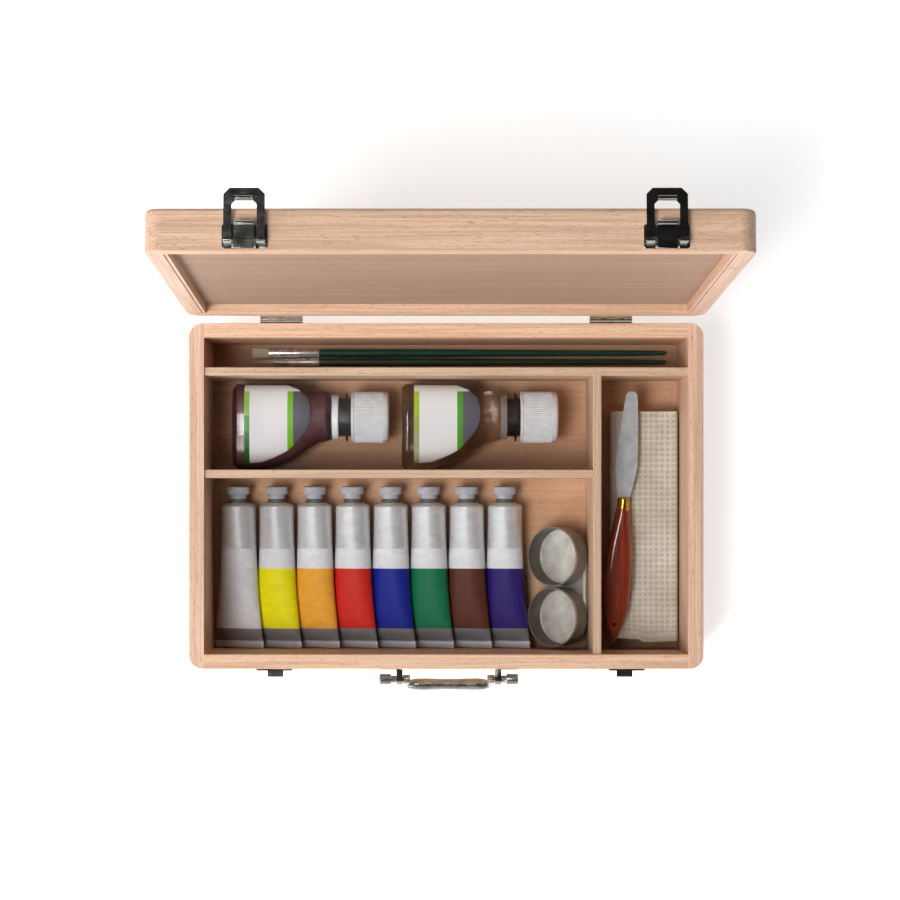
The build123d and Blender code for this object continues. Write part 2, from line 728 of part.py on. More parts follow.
def section_points(middle, half_width_here, half_thickness, squareness):
    """Points round a squared oval."""
    points = []
    for k in range(bottle_section_points):
        angle = 2 * pi * k / bottle_section_points
        c, s = cos(angle), sin(angle)
        points.append((middle + half_width_here * abs(c) ** (2 / squareness) * (1 if c > 0 else -1),
                       half_thickness * abs(s) ** (2 / squareness) * (1 if s > 0 else -1)))
    return points


def bottle(name, x):
    """One bottle lying on its back, its cap to the right."""
    base = Plane(origin=(x, 0, bottle_axis_z), x_dir=(0, 1, 0), z_dir=(1, 0, 0))
    neck = Plane(origin=(x, bottle_neck_y, bottle_axis_z), x_dir=(1, 0, 0), z_dir=(0, 0, 1))
    steps, at = [], bottle_body_length
    for length, radius in neck_steps:
        steps += [(at, radius), (at + length, radius)]
        at += length
    cap_start = at
    thread_end = cap_start + bottle_cap_length - 4.0
    steps += [(at, bottle_thread_radius), (thread_end, bottle_thread_radius)]
    with BuildPart() as glass:
        for distance, middle, half_w, half_t, squareness in bottle_sections:
            with BuildSketch(base.offset(distance)):
                with BuildLine():
                    Spline(*section_points(middle, half_w, half_t, squareness), periodic=True)
                make_face()
        loft()
        add(turned(neck, steps))
    write(glass.part, name)
    cap_end = cap_start + bottle_cap_length
    cap_low = cap_start + 2 * running_clearance
    outline = [(cap_low, bottle_thread_radius + 2 * running_clearance),
               (cap_low, bottle_cap_radius), (cap_end - 2.4, bottle_cap_radius - 0.4),
               (cap_end - 0.9, bottle_cap_radius - 1.4), (cap_end, 0.55 * bottle_cap_radius),
               (cap_end, 0), (thread_end + 0.3, 0),
               (thread_end + 0.3, bottle_thread_radius + 2 * running_clearance)]
    with BuildPart() as cap:
        with BuildSketch(neck):
            with BuildLine():
                Polyline(*outline, close=True)
            make_face()
        revolve(axis=Axis(neck.origin, neck.x_dir))
    write(cap.part, f"{name}_cap")


bottle("bottle_left", bottle_x[0])
bottle("bottle_right", bottle_x[1])


# Paint tubes: round at the shoulder, flat at the crimped end, each lying over the next one's edge

tube_crimp_z = (floor_thickness + tube_gap + tube_crimp_half * sin(radians(tube_roll))
                + tube_crimp_thick / 2)
tube_round_z = floor_thickness + tube_gap + tube_radius
tube_rise = asin((tube_round_z - tube_crimp_z) / (tube_body + tube_fold))
tube_axis_dir = Vector(0, cos(tube_rise), sin(tube_rise))
tube_up = Vector(0, -sin(tube_rise), cos(tube_rise))
tube_wide = Vector(cos(radians(tube_roll)), 0, 0) + tube_up * sin(radians(tube_roll))
tube_girth = pi * tube_radius
oval_points = 16


def flattened(share):
    """Half width and half thickness of the oval section at this share of the way to the crimp.

    The width grows steadily and the thickness follows from the tube's girth, a little slack in
    the middle.
    """
    if share == 1:
        return tube_end_half
    half_w = tube_radius + (tube_end_half[0] - tube_radius) * share ** 1.8
    thinnest, thickest = 0.1, tube_radius + 0.1
    for _ in range(40):
        half_t = (thinnest + thickest) / 2
        h = ((half_w - half_t) / (half_w + half_t)) ** 2
        girth = pi * (half_w + half_t) * (1 + 3 * h / (10 + sqrt(4 - 3 * h))) / 2
        if girth > tube_girth:
            thickest = half_t
        else:
            thinnest = half_t
    return half_w, half_t * (1 - 0.4 * share * (1 - share))


def oval(half_w, half_t):
    """Points round an oval, the same number and order for every section."""
    turns = [2 * pi * k / oval_points for k in range(oval_points)]
    return [(half_w * cos(a), half_t * sin(a)) for a in turns]


def paint_tube(number, x):
    """One tube and its cap."""
    crimp = Plane(origin=(x, tube_crimp_y, tube_crimp_z), x_dir=tube_wide, z_dir=tube_axis_dir)
    shoulder_at = tube_fold + tube_body
    ring_at = shoulder_at + tube_shoulder
    cap_at = ring_at + tube_neck_ring + tube_cap_gap
    with BuildPart() as tube:
        with BuildSketch(crimp):
            Rectangle(2 * tube_crimp_half, tube_crimp_thick)
        extrude(amount=tube_fold)
        for share in (1.0, 0.95, 0.88, 0.78, 0.65, 0.5, 0.34, 0.17, 0.0):
            with BuildSketch(crimp.offset(shoulder_at - share * tube_body)):
                with BuildLine():
                    Spline(*oval(*flattened(share)), periodic=True)
                make_face()
        loft(ruled=True)
        for distance, radius in ((shoulder_at, tube_radius), (ring_at, 6.6)):
            with BuildSketch(crimp.offset(distance)):
                with BuildLine():
                    Spline(*oval(radius, radius), periodic=True)
                make_face()
        loft()
        with Locations(crimp.offset(ring_at)):
            Cylinder(6.2, tube_neck_ring, align=STANDING)
            Cylinder(tube_thread_radius, tube_neck_ring + tube_thread_length, align=STANDING)
    write(tube.part, f"tube_{number}")
    along = Plane(origin=crimp.offset(cap_at).origin, x_dir=tube_axis_dir, z_dir=tube_wide)
    bore = tube_thread_radius + 2 * running_clearance
    outline = [(0, bore), (0, 5.7), (2.8, 5.9), (3.0, 7.9), (3.6, 8.6), (8.8, 8.6), (9.3, 8.1),
               (9.3, 0), (tube_thread_length + 0.3, 0), (tube_thread_length + 0.3, bore)]
    with BuildPart() as cap:
        with BuildSketch(along):
            with BuildLine():
                Polyline(*outline, close=True)
            make_face()
        revolve(axis=Axis(along.origin, along.x_dir))
    write(cap.part, f"tube_{number}_cap")


tube_pitch = (tube_last_x - tube_first_x) / (tube_count - 1)
for number in range(1, tube_count + 1):
    paint_tube(number, tube_first_x + (number - 1) * tube_pitch)


# Double cup: two shallow cups leaning against the upright divider, on a folded clip

lean = radians(cup_lean)
cup_up = Vector(-sin(lean), 0, cos(lean))
cup_across = Vector(cos(lean), 0, sin(lean))
cup_low_z = floor_thickness + lying_gap + cup_radius * sin(lean)
cup_bottom_x = cup_x + cup_depth * sin(lean)
cup_outline = [(0, 0), (0, cup_radius - 1.0), (1.0, cup_radius), (cup_depth - 1.0, cup_radius),
               (cup_depth, cup_radius - 0.2), (cup_depth, cup_radius - cup_wall),
               (cup_wall + 1.5, cup_radius - cup_wall), (cup_wall, cup_radius - cup_wall - 1.5),
               (cup_wall, 0)]
with BuildPart() as cups:
    for y in cup_y:
        standing = Plane(origin=(cup_bottom_x, y, cup_low_z), x_dir=cup_up, z_dir=(0, 1, 0))
        with BuildPart() as one_cup:
            with BuildSketch(standing):
                with BuildLine():
                    Polyline(*[(a, -r) for a, r in cup_outline], close=True)
                make_face()
            revolve(axis=Axis(standing.origin, standing.x_dir))
write(cups.part, "cups")

clip_side = Plane(origin=(cup_bottom_x, sum(cup_y) / 2, cup_low_z), x_dir=cup_across, z_dir=(0, 1, 0))
bend = clip_opening / 2 + clip_sheet
with BuildPart() as cup_clip:
    with BuildSketch(clip_side.offset(-clip_width / 2)):
        with Locations(((clip_low + clip_high) / 2, bend)):
            Rectangle(clip_high - clip_low, 2 * bend)
        with Locations((clip_high, bend)):
            Circle(bend)
            Circle(bend - clip_sheet, mode=Mode.SUBTRACT)
        with Locations(((clip_low + clip_high) / 2, bend)):
            Rectangle(clip_high - clip_low, 2 * (bend - clip_sheet), mode=Mode.SUBTRACT)
    extrude(amount=clip_width)
write(cup_clip.part, "cup_clip")


# Folded cloth: one long strip folded back on itself

cloth_pitch = cloth_thickness + cloth_gap
turn_radius = cloth_pitch / 2
cloth_bottom = floor_thickness + lying_gap + cloth_thickness / 2
fold_reach = turn_radius + cloth_thickness / 2
with BuildPart() as cloth:
    with BuildSketch(Plane(origin=(0, cloth_y[1], 0), x_dir=(1, 0, 0), z_dir=(0, -1, 0))):
        left, right = cloth_x[0] + fold_reach, cloth_x[1] - fold_reach
        for layer in range(cloth_layers):
            with Locations(((left + right) / 2, cloth_bottom + layer * cloth_pitch)):
                Rectangle(right - left, cloth_thickness)
        for layer in range(cloth_layers - 1):
            middle = cloth_bottom + (layer + 0.5) * cloth_pitch
            edge, way = (right, 1) if layer % 2 == 0 else (left, -1)
            with BuildLine():
                for radius, turn in ((fold_reach, 1), (turn_radius - cloth_thickness / 2, -1)):
                    ThreePointArc((edge, middle - turn * radius), (edge + way * radius, middle),
                                  (edge, middle + turn * radius))
                for turn in (-1, 1):
                    Line((edge, middle + turn * fold_reach),
                         (edge, middle + turn * (turn_radius - cloth_thickness / 2)))
            make_face()
    extrude(amount=cloth_y[1] - cloth_y[0])
write(cloth.part, "cloth")


# Palette knife: flat-sided handle with rounded edges, brass ferrule, and a blade on a round tang

knife_length = hypot(knife_tip[0] - knife_end[0], knife_tip[1] - knife_end[1])
knife_dir = Vector(knife_tip[0] - knife_end[0], knife_tip[1] - knife_end[1], 0).normalized()
cloth_top = cloth_bottom + (cloth_layers - 1) * cloth_pitch + cloth_thickness / 2
knife_z = cloth_top + lying_gap + knife_handle_half[1]
knife_plane = Plane(origin=(*knife_end, knife_z), x_dir=knife_dir, z_dir=(0, 0, 1))
knife_section = Plane(origin=(*knife_end, knife_z), x_dir=Vector(0, 0, 1).cross(knife_dir),
                      z_dir=knife_dir)
widest, thickest = knife_handle_half
handle_sections = (
    # distance from the pointed end, half width, half thickness, squareness
    (0.0, 0.9, 0.9, 2.0),
    (2.5, 2.0, 1.9, 2.3),
    (6.5, 3.8, 3.3, 2.8),
    (15.6, 7.1, 5.0, 3.6),
    (25.0, 8.9, 5.7, 4.0),
    (36.0, widest - 0.1, thickest, 4.0),
    (49.0, widest, thickest, 4.0),
    (62.0, 9.35, thickest, 3.8),
    (76.0, 8.1, 5.9, 3.2),
    (89.0, 6.5, 5.7, 2.4),
    (knife_handle_length, 5.4, 5.4, 2.0),
)
hole_at = 13.6
tang_depth = 20.0
tang_start = knife_handle_length - tang_depth
tang = turned(knife_plane, [(tang_start, knife_tang_radius),
                            (knife_handle_length + knife_ferrule_length - knife_root_depth + 1,
                             knife_tang_radius)])
with BuildPart() as knife_handle:
    for distance, half_w, half_t, squareness in handle_sections:
        with BuildSketch(knife_section.offset(distance)):
            with BuildLine():
                Spline(*section_points(0, half_w, half_t, squareness), periodic=True)
            make_face()
    loft()
    with Locations(Plane(origin=knife_plane.from_local_coords((hole_at, 0, 0)), z_dir=(0, 0, 1))):
        Cylinder(1.5, 30, mode=Mode.SUBTRACT)
    add(tang, mode=Mode.SUBTRACT)
write(knife_handle.part, "knife_handle")

blade_start = knife_handle_length + knife_ferrule_length
blade_edge = [(blade_start + 0.1, 4.3), (blade_start + 12.7, 6.85), (blade_start + 24.0, 8.15),
              (blade_start + 34.0, 7.8), (blade_start + 43.4, 7.2), (blade_start + 62.0, 5.8),
              (knife_length - 3.4, 4.3)]
with BuildPart() as knife_blade:
    add(tang)
    with BuildSketch(knife_plane.offset(-knife_blade_thickness / 2)):
        with BuildLine():
            root = blade_start - knife_root_depth
            Spline(*blade_edge, tangents=[(1, 0.2), (1, -0.12)])
            Spline(blade_edge[-1], (knife_length, 0), (blade_edge[-1][0], -blade_edge[-1][1]),
                   tangents=[(1, -0.12), (-1, -0.12)])
            Spline(*[(d, -h) for d, h in reversed(blade_edge)], tangents=[(-1, -0.12), (-1, 0.2)])
            Polyline((blade_edge[0][0], -blade_edge[0][1]), (blade_edge[0][0], -knife_root_half),
                     (root, -knife_root_half), (root, knife_root_half),
                     (blade_edge[0][0], knife_root_half), blade_edge[0])
        make_face()
    extrude(amount=knife_blade_thickness)
write(knife_blade.part, "knife_blade")

with BuildPart() as knife_ferrule:
    add(turned(knife_plane, [(knife_handle_length, knife_ferrule_radius),
                             (knife_handle_length + 1.0, knife_ferrule_radius + 0.15),
                             (knife_handle_length + 2.0, knife_ferrule_radius),
                             (blade_start - 0.6, knife_ferrule_radius - 0.35),
                             (blade_start, knife_ferrule_radius - 0.9)]))
    add(knife_blade.part, mode=Mode.SUBTRACT)
write(knife_ferrule.part, "knife_ferrule")
print("tube rise", round(degrees(tube_rise), 2), "deg, tube pitch", round(tube_pitch, 2), "mm")
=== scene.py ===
# %% [markdown]
# A wooden paint box, dressed for the camera
#
# The object is a flat beech case with a hinged lid, two toggle latches and a drop handle, open on a
# pale floor with its contents in place. The CAD model gives every rigid piece its place and its
# joints. This lesson adds what the eye expects on top: wood grain, plated steel, glass, printed
# foil, a waffle cloth. Sizes are written in millimetres and scaled once to Blender's metres.

# %% Load the frame
import bmesh
import bpy
import math
import numpy as np
from mathutils import Matrix, Vector


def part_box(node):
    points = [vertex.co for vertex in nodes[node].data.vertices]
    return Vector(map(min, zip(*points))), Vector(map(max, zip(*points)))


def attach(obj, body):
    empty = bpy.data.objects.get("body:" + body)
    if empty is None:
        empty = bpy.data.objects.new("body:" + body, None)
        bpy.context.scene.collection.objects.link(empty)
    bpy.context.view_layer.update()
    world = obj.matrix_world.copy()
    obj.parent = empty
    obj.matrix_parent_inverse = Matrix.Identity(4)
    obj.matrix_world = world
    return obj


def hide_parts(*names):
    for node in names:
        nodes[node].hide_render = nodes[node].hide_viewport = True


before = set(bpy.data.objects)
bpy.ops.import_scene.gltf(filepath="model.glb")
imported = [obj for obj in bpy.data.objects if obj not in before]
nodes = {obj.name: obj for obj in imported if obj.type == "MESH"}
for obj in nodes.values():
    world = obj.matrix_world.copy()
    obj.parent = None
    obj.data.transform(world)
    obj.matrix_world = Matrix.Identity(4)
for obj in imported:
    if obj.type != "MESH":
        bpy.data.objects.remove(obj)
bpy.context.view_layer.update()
MM = 0.001

# %% [markdown]
# Colours first. A colour picked from a photograph is an sRGB code, while Blender's shaders count in
# linear light, so one function converts it and every colour below goes through it. The second
# helper adds one node of any kind with its settings and links, which keeps a material readable as a
# list of steps. The third starts a material from the values that are the same all over a surface.
# Inputs without a name of their own go by number: Map Range has its value at 0 and its two ranges
# at 1 to 4, Mix has its share at 0, vectors at 4 and 5 and colours at 6 and 7.

# %% Colours and nodes
def linear(code):
    """A hex colour as linear red, green, blue and alpha."""
    parts = [int(code[i:i + 2], 16) / 255 for i in (1, 3, 5)]
    return (*[c / 12.92 if c <= 0.04045 else ((c + 0.055) / 1.055) ** 2.4 for c in parts], 1.0)


def put(tree, kind, links=None, **settings):
    """Adds a node. Links are values or other nodes' outputs for its inputs, by name or number."""
    made = tree.nodes.new(kind)
    for name, value in settings.items():
        setattr(made, name, value)
    for key, value in (links or {}).items():
        if isinstance(value, bpy.types.NodeSocket):
            tree.links.new(value, made.inputs[key])
        else:
            made.inputs[key].default_value = value
    return made


def start_material(name, **constants):
    """A material, its tree, shader and Object coordinates. Constants go on the shader itself."""
    material = bpy.data.materials.new(name)
    material.use_nodes = True
    tree = material.node_tree
    shader = tree.nodes["Principled BSDF"]
    for key, value in constants.items():
        shader.inputs[key.replace("_", " ")].default_value = value
    return material, tree, shader, put(tree, "ShaderNodeTexCoord").outputs["Object"]


# %% [markdown]
# Two more helpers finish a material. One paints a pattern: its values turn into tones, which may be
# multiplied over a colour that is already there, as dirt and wear are. The other hands the painted
# colour, a roughness and a relief to the shader.

# %% Patterns to surfaces
def tones(tree, pattern, stops, over=None, share=1.0, steps=False):
    """A pattern in (value, hex colour) tones, smooth or in steps, over another colour or alone."""
    made = put(tree, "ShaderNodeValToRGB", {"Fac": pattern})
    made.color_ramp.interpolation = "CONSTANT" if steps else "LINEAR"
    while len(made.color_ramp.elements) < len(stops):
        made.color_ramp.elements.new(0.5)
    for element, (place, code) in zip(made.color_ramp.elements, stops):
        element.position = place
        element.color = linear(code)
    if over is None:
        return made.outputs["Color"]
    return put(tree, "ShaderNodeMix", {0: share, 6: over, 7: made.outputs["Color"]},
               data_type="RGBA", blend_type="MULTIPLY").outputs[2]


def surface(tree, shader, colour=None, roughness=None, height=None, strength=0.0, depth_mm=0.0):
    """Links a colour, a roughness and a relief of the given depth to the shader."""
    for key, pattern in (("Base Color", colour), ("Roughness", roughness)):
        if pattern is not None:
            tree.links.new(pattern, shader.inputs[key])
    if height is not None:
        bump = put(tree, "ShaderNodeBump", {"Height": height, "Strength": strength,
                                            "Distance": depth_mm * MM})
        tree.links.new(bump.outputs[0], shader.inputs["Normal"])


# %% [markdown]
# Meshes next. Nearly everything in the box is either turned about an axis, like a cap or a cup, or
# drawn through a row of closed sections, like a bottle. Both are the same mesh: rings of points
# with faces between them and the two ends closed. Normals are smooth except at real corners.

# %% Rings to meshes
def link_mesh(name, mesh, material, sharp):
    """An object with smooth faces, apart from edges sharper than the angle, in degrees."""
    mesh.materials.clear()
    mesh.materials.append(material)
    mesh.shade_smooth()
    mesh.set_sharp_from_angle(angle=math.radians(sharp))
    piece = bpy.data.objects.new(name, mesh)
    bpy.context.scene.collection.objects.link(piece)
    return piece


def skin(name, rings, material, sharp=35, uvs=None):
    """A closed mesh through rings of points in millimetres. uvs gives one (u, v) for each point."""
    count = len(rings[0])
    shell = bmesh.new()
    points = [[shell.verts.new([c * MM for c in p]) for p in ring] for ring in rings]
    layer = shell.loops.layers.uv.new("surface") if uvs else None
    for r in range(len(rings) - 1):
        for k in range(count):
            corners = [(r, k), (r, k + 1), (r + 1, k + 1), (r + 1, k)]
            face = shell.faces.new([points[i][j % count] for i, j in corners])
            if layer:
                for loop, (i, j) in zip(face.loops, corners):
                    u, v = uvs[i][j % count]
                    loop[layer].uv = (u + (j == count), v)
    shell.faces.new(points[0])
    shell.faces.new(points[-1])
    bmesh.ops.remove_doubles(shell, verts=shell.verts, dist=1e-7)
    bmesh.ops.recalc_face_normals(shell, faces=shell.faces)
    mesh = bpy.data.meshes.new(name)
    shell.to_mesh(mesh)
    shell.free()
    return link_mesh(name, mesh, material, sharp)


def round_turns(count):
    """Angles that divide a full turn evenly."""
    return [2 * math.pi * k / count for k in range(count)]


def turned(name, origin, axis, profile, material, segments=64, sharp=30):
    """A solid turned about an axis through (distance, radius) points, with v along its profile."""
    axis = Vector(axis).normalized()
    side = axis.orthogonal().normalized()
    up = axis.cross(side)
    rings, uvs, run = [], [], 0.0
    for i, (distance, radius) in enumerate(profile):
        if i:
            run += math.dist(profile[i], profile[i - 1])
        rings.append([Vector(origin) + axis * distance
                      + (side * math.cos(t) + up * math.sin(t)) * radius
                      for t in round_turns(segments)])
        uvs.append([(k / segments, run) for k in range(segments)])
    return skin(name, rings, material, sharp, uvs)


# %% [markdown]
# A flat sheet is two grids of points with a rim between them: a label and a cloth are both made
# that way. A steel fitting keeps its CAD shape, but its triangles are loose and would show flat
# facets, so it gets a merged copy with smooth faces that stands for the node.

# %% Sheets and merged copies
def sheet_between(name, upper, lower, material, sharp=60):
    """A closed sheet between two grids of points, rows of equal length, in millimetres."""
    rows, columns = len(upper), len(upper[0])
    size = rows * columns
    points = [[c * MM for c in p] for grid in (upper, lower) for row in grid for p in row]
    faces = []
    for r in range(rows - 1):
        for c in range(columns - 1):
            a = r * columns + c
            quad = (a, a + 1, a + columns + 1, a + columns)
            faces += [quad, tuple(size + i for i in reversed(quad))]
    border = [(0, c) for c in range(columns)]
    border += [(r, columns - 1) for r in range(1, rows)]
    border += [(rows - 1, c) for c in range(columns - 2, -1, -1)]
    border += [(r, 0) for r in range(rows - 2, 0, -1)]
    for (r0, c0), (r1, c1) in zip(border, border[1:] + border[:1]):
        a, b = r0 * columns + c0, r1 * columns + c1
        faces.append((b, a, size + a, size + b))
    mesh = bpy.data.meshes.new(name)
    mesh.from_pydata(points, [], faces)
    shell = bmesh.new()
    shell.from_mesh(mesh)
    bmesh.ops.recalc_face_normals(shell, faces=shell.faces)
    shell.to_mesh(mesh)
    shell.free()
    return link_mesh(name, mesh, material, sharp)


def keep_result(piece, modifier):
    """Keeps what a modifier makes as the piece's own mesh."""
    evaluated = piece.evaluated_get(bpy.context.evaluated_depsgraph_get())
    result = bpy.data.meshes.new_from_object(evaluated)
    piece.modifiers.remove(modifier)
    old, piece.data = piece.data, result
    result.name = piece.name
    bpy.data.meshes.remove(old)
    return piece


def settle(piece, body, slot, *replaced):
    """Puts a piece on its body and says which CAD nodes it stands for. The slot is not used."""
    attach(piece, body)
    if replaced:
        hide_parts(*replaced)
    print(piece.name, "on", body, "with", len(piece.data.polygons), "faces")


def smooth_copy(node, name, material, body, slot, sharp=28):
    """Settles a merged copy of a CAD node. Its large faces decide the smooth normals."""
    mesh = nodes[node].data.copy()
    mesh.name = name
    shell = bmesh.new()
    shell.from_mesh(mesh)
    bmesh.ops.remove_doubles(shell, verts=shell.verts, dist=2e-6)
    for edge in shell.edges:
        edge.smooth = True
    shell.to_mesh(mesh)
    shell.free()
    piece = link_mesh(name, mesh, material, sharp)
    weighting = piece.modifiers.new("weighting", "WEIGHTED_NORMAL")
    weighting.keep_sharp = True
    settle(keep_result(piece, weighting), body, slot, node)


def dress(material, *names):
    """Gives CAD nodes a material."""
    for name in names:
        for slot in nodes[name].material_slots:
            slot.material = material
    print(material.name, "on", ", ".join(names))


# %% [markdown]
# The camera hangs straight over the box, as in the photograph: it looks down on the open case, and
# the lid, standing a little past upright, shows only its edges. Its small sideways and upward shift
# brings the box to the same place in the frame. The floor is one large pale sheet, lit a little
# from below like a light table, so that shadows on it stay faint.

# %% Camera and floor
camera_data = bpy.data.cameras.new("camera")
camera_data.sensor_width = 36.0
camera_data.lens = 83.96
camera_data.shift_x = 0.0294
camera_data.shift_y = 0.0556
camera_data.clip_end = 20.0
camera = bpy.data.objects.new("camera", camera_data)
camera.location = (-0.0165, -0.0029, 1.609)
bpy.context.scene.collection.objects.link(camera)
bpy.context.scene.camera = camera
bpy.context.scene.view_settings.view_transform = "Standard"

paper, tree, shader, seen = start_material("matt_backdrop_paper", Roughness=0.9,
                                           Emission_Strength=0.6)
paper_grain = put(tree, "ShaderNodeTexNoise", {"Vector": seen, "Scale": 900.0})
surface(tree, shader, tones(tree, paper_grain.outputs["Fac"], [(0.3, "#f4f4f3"),
                                                               (0.7, "#fafaf9")]))
FLOOR_HALF = 3.0  # metres
floor_mesh = bpy.data.meshes.new("floor")
floor_mesh.from_pydata([(x * FLOOR_HALF, y * FLOOR_HALF, 0.0)
                        for x, y in ((-1, -1), (1, -1), (1, 1), (-1, 1))], [], [(0, 1, 2, 3)])
floor_mesh.materials.append(paper)
floor = bpy.data.objects.new("floor", floor_mesh)
bpy.context.scene.collection.objects.link(floor)
print("camera at", tuple(round(c, 3) for c in camera.location))

# %% [markdown]
# The photograph's light is a large soft lamp high up and to the left, so the contents are well lit
# while the inner faces of the left and front walls are nearly black. A weaker lamp low in front and
# to the left reaches the lid's faces and throws the slanting shadow on the back walls. Flat plated
# metal looks nearly black with bright edges: the world is dark overhead and towards the back right,
# and bright low on the left and in front. Only a dim twin of the high lamp is seen in reflections,
# which keeps the highlights on foil and varnish soft, and the low lamp isn't seen through glass.

# %% Lights and world
def area_lamp(name, place, aim, size, power):
    """A white square lamp at a place, turned to face a point, in metres and watts."""
    lamp = bpy.data.lights.new(name, "AREA")
    lamp.size = size
    lamp.energy = power
    holder = bpy.data.objects.new(name, lamp)
    holder.location = place
    holder.rotation_euler = (Vector(aim) - Vector(place)).to_track_quat("-Z", "Y").to_euler()
    bpy.context.scene.collection.objects.link(holder)
    return holder


key = area_lamp("key_lamp", (-0.8, -0.5, 2.1), aim=(0.0, 0.0, 0.05), size=0.9, power=37.0)
sheen = area_lamp("sheen_lamp", (-0.6, 0.2, 2.2), aim=(0.0, 0.0, 0.05), size=0.4, power=9.0)
low = area_lamp("low_lamp", (-1.4, -1.6, 1.1), aim=(0.0, 0.0, 0.1), size=0.5, power=17.0)
key.visible_glossy = False
sheen.visible_diffuse = False
low.visible_transmission = False

world = bpy.data.worlds.new("studio")
world.use_nodes = True
bpy.context.scene.world = world
sky = world.node_tree
backdrop = sky.nodes["Background"]
toward = put(sky, "ShaderNodeSeparateXYZ",
             {"Vector": put(sky, "ShaderNodeTexCoord").outputs["Generated"]})
sky.links.new(tones(sky, toward.outputs["Z"], [(0.0, "#bdbbb8"), (0.25, "#f6f6f5"),
                                               (0.72, "#e4e4e2"), (0.94, "#4a4848")]),
              backdrop.inputs["Color"])
back_right = put(sky, "ShaderNodeMath", {0: toward.outputs["X"], 1: toward.outputs["Y"]},
                 operation="ADD")
dimmed = put(sky, "ShaderNodeMapRange", {0: back_right.outputs[0], 1: -0.8, 2: 0.6, 3: 0.85,
                                         4: 0.06})
sky.links.new(dimmed.outputs[0], backdrop.inputs["Strength"])
print("two lamps, a dim twin for reflections and a graded world")

# %% [markdown]
# Beech is a pale, close wood. What tells the eye that it is beech is the fleck: short fine dashes,
# darker than the wood and in line with the grain, over broad soft bands of tone. The pattern lives
# in space, not on the surface, so a finger joint shows streaks on one board and dots of end grain
# on the next, as sawn wood does. Each board has its own direction: one turn of the coordinates
# brings the board's length onto X, and the noise is then stretched that way.

# %% Beech
OPEN_TURN = math.radians(94.0)
ALONG_X, ALONG_Y = (0.0, 0.0, 0.0), (0.0, 0.0, -math.pi / 2)
LID_X, LID_Y = (OPEN_TURN, 0.0, 0.0), (OPEN_TURN, 0.0, -math.pi / 2)
UPRIGHT_FROM_X = 107.2  # just left of the upright divider, whose grain runs along Y


def stretched(tree, place, long_mm, fine_mm, detail=3.0, distortion=0.0):
    """Noise whose features are long_mm along the grain and fine_mm across it."""
    scaled = put(tree, "ShaderNodeVectorMath",
                 {0: place, 1: (1 / (long_mm * MM), 1 / (fine_mm * MM), 1 / (fine_mm * MM))},
                 operation="MULTIPLY")
    return put(tree, "ShaderNodeTexNoise",
               {"Vector": scaled.outputs[0], "Scale": 1.0, "Detail": detail,
                "Distortion": distortion}).outputs["Fac"]


def planed_wood(name, turn, light, dark, fleck, shift=(0.0, 0.0, 0.0), second_turn=None,
                roughness=0.5, streaks=0.4):
    """Planed and oiled wood, its grain along X after the turn. A second turn is the upright's."""
    material, tree, shader, seen = start_material(name, Roughness=roughness)
    place = put(tree, "ShaderNodeMapping", {"Vector": seen, "Rotation": turn,
                                            "Location": [c * MM for c in shift]}).outputs[0]
    if second_turn:
        other = put(tree, "ShaderNodeMapping", {"Vector": seen, "Rotation": second_turn})
        past = put(tree, "ShaderNodeMath",
                   {0: put(tree, "ShaderNodeSeparateXYZ", {0: seen}).outputs["X"],
                    1: UPRIGHT_FROM_X * MM}, operation="GREATER_THAN")
        place = put(tree, "ShaderNodeMix", {0: past.outputs[0], 4: place, 5: other.outputs[0]},
                    data_type="VECTOR").outputs[1]
    bands = stretched(tree, place, 220.0, 9.0, distortion=0.6)
    rings = stretched(tree, place, 90.0, 1.3, 2.0, 0.3)
    flecks = stretched(tree, place, 5.0, 0.55, 1.0)
    banded = tones(tree, bands, [(0.3, dark), (0.7, light)])
    lined = tones(tree, rings, [(0.42, "#c9b8a8"), (0.58, "#ffffff")], banded, streaks)
    marks = put(tree, "ShaderNodeMapRange", {0: flecks, 1: 0.60, 2: 0.70, 3: 0.0, 4: 0.5})
    marked = put(tree, "ShaderNodeMix", {0: marks.outputs[0], 6: lined, 7: linear(fleck)},
                 data_type="RGBA")
    surface(tree, shader, marked.outputs[2], height=rings, strength=0.12, depth_mm=0.2)
    return material


beech_long = planed_wood("oiled_beech_lengthwise", ALONG_X, "#ecc7ab", "#dfb899", "#a8765a")
beech_deep = planed_wood("oiled_beech_depthwise", ALONG_Y, "#ebc6ae", "#ddb59c", "#a3735a",
                         (140.0, 60.0, 0.0))
beech_lid_long = planed_wood("oiled_beech_lid_lengthwise", LID_X, "#e9c5aa", "#dab598", "#a8765a",
                             (0.0, 320.0, 90.0))
beech_lid_deep = planed_wood("oiled_beech_lid_sides", LID_Y, "#e9c4ac", "#d9b098", "#a3735a",
                             (75.0, 20.0, 0.0))
beech_dividers = planed_wood("oiled_beech_dividers", ALONG_X, "#d8bca3", "#caaa90", "#97705a",
                             (33.0, 200.0, 15.0), ALONG_Y)
dress(beech_long, "base_wall_front", "base_wall_back")
dress(beech_deep, "base_wall_left", "base_wall_right")
dress(beech_lid_long, "lid_wall_front", "lid_wall_back")
dress(beech_lid_deep, "lid_wall_left", "lid_wall_right", "lid_battens")
dress(beech_dividers, "cross_dividers")
dress(planed_wood("oiled_beech_long_divider", ALONG_X, "#d9bda2", "#cdac90", "#97705a",
                  (210.0, 80.0, 40.0)), "divider_long")

# %% [markdown]
# The floor and both lid boards are thin birch plywood. It is the same recipe in a browner tone,
# with fainter streaks and a duller face.

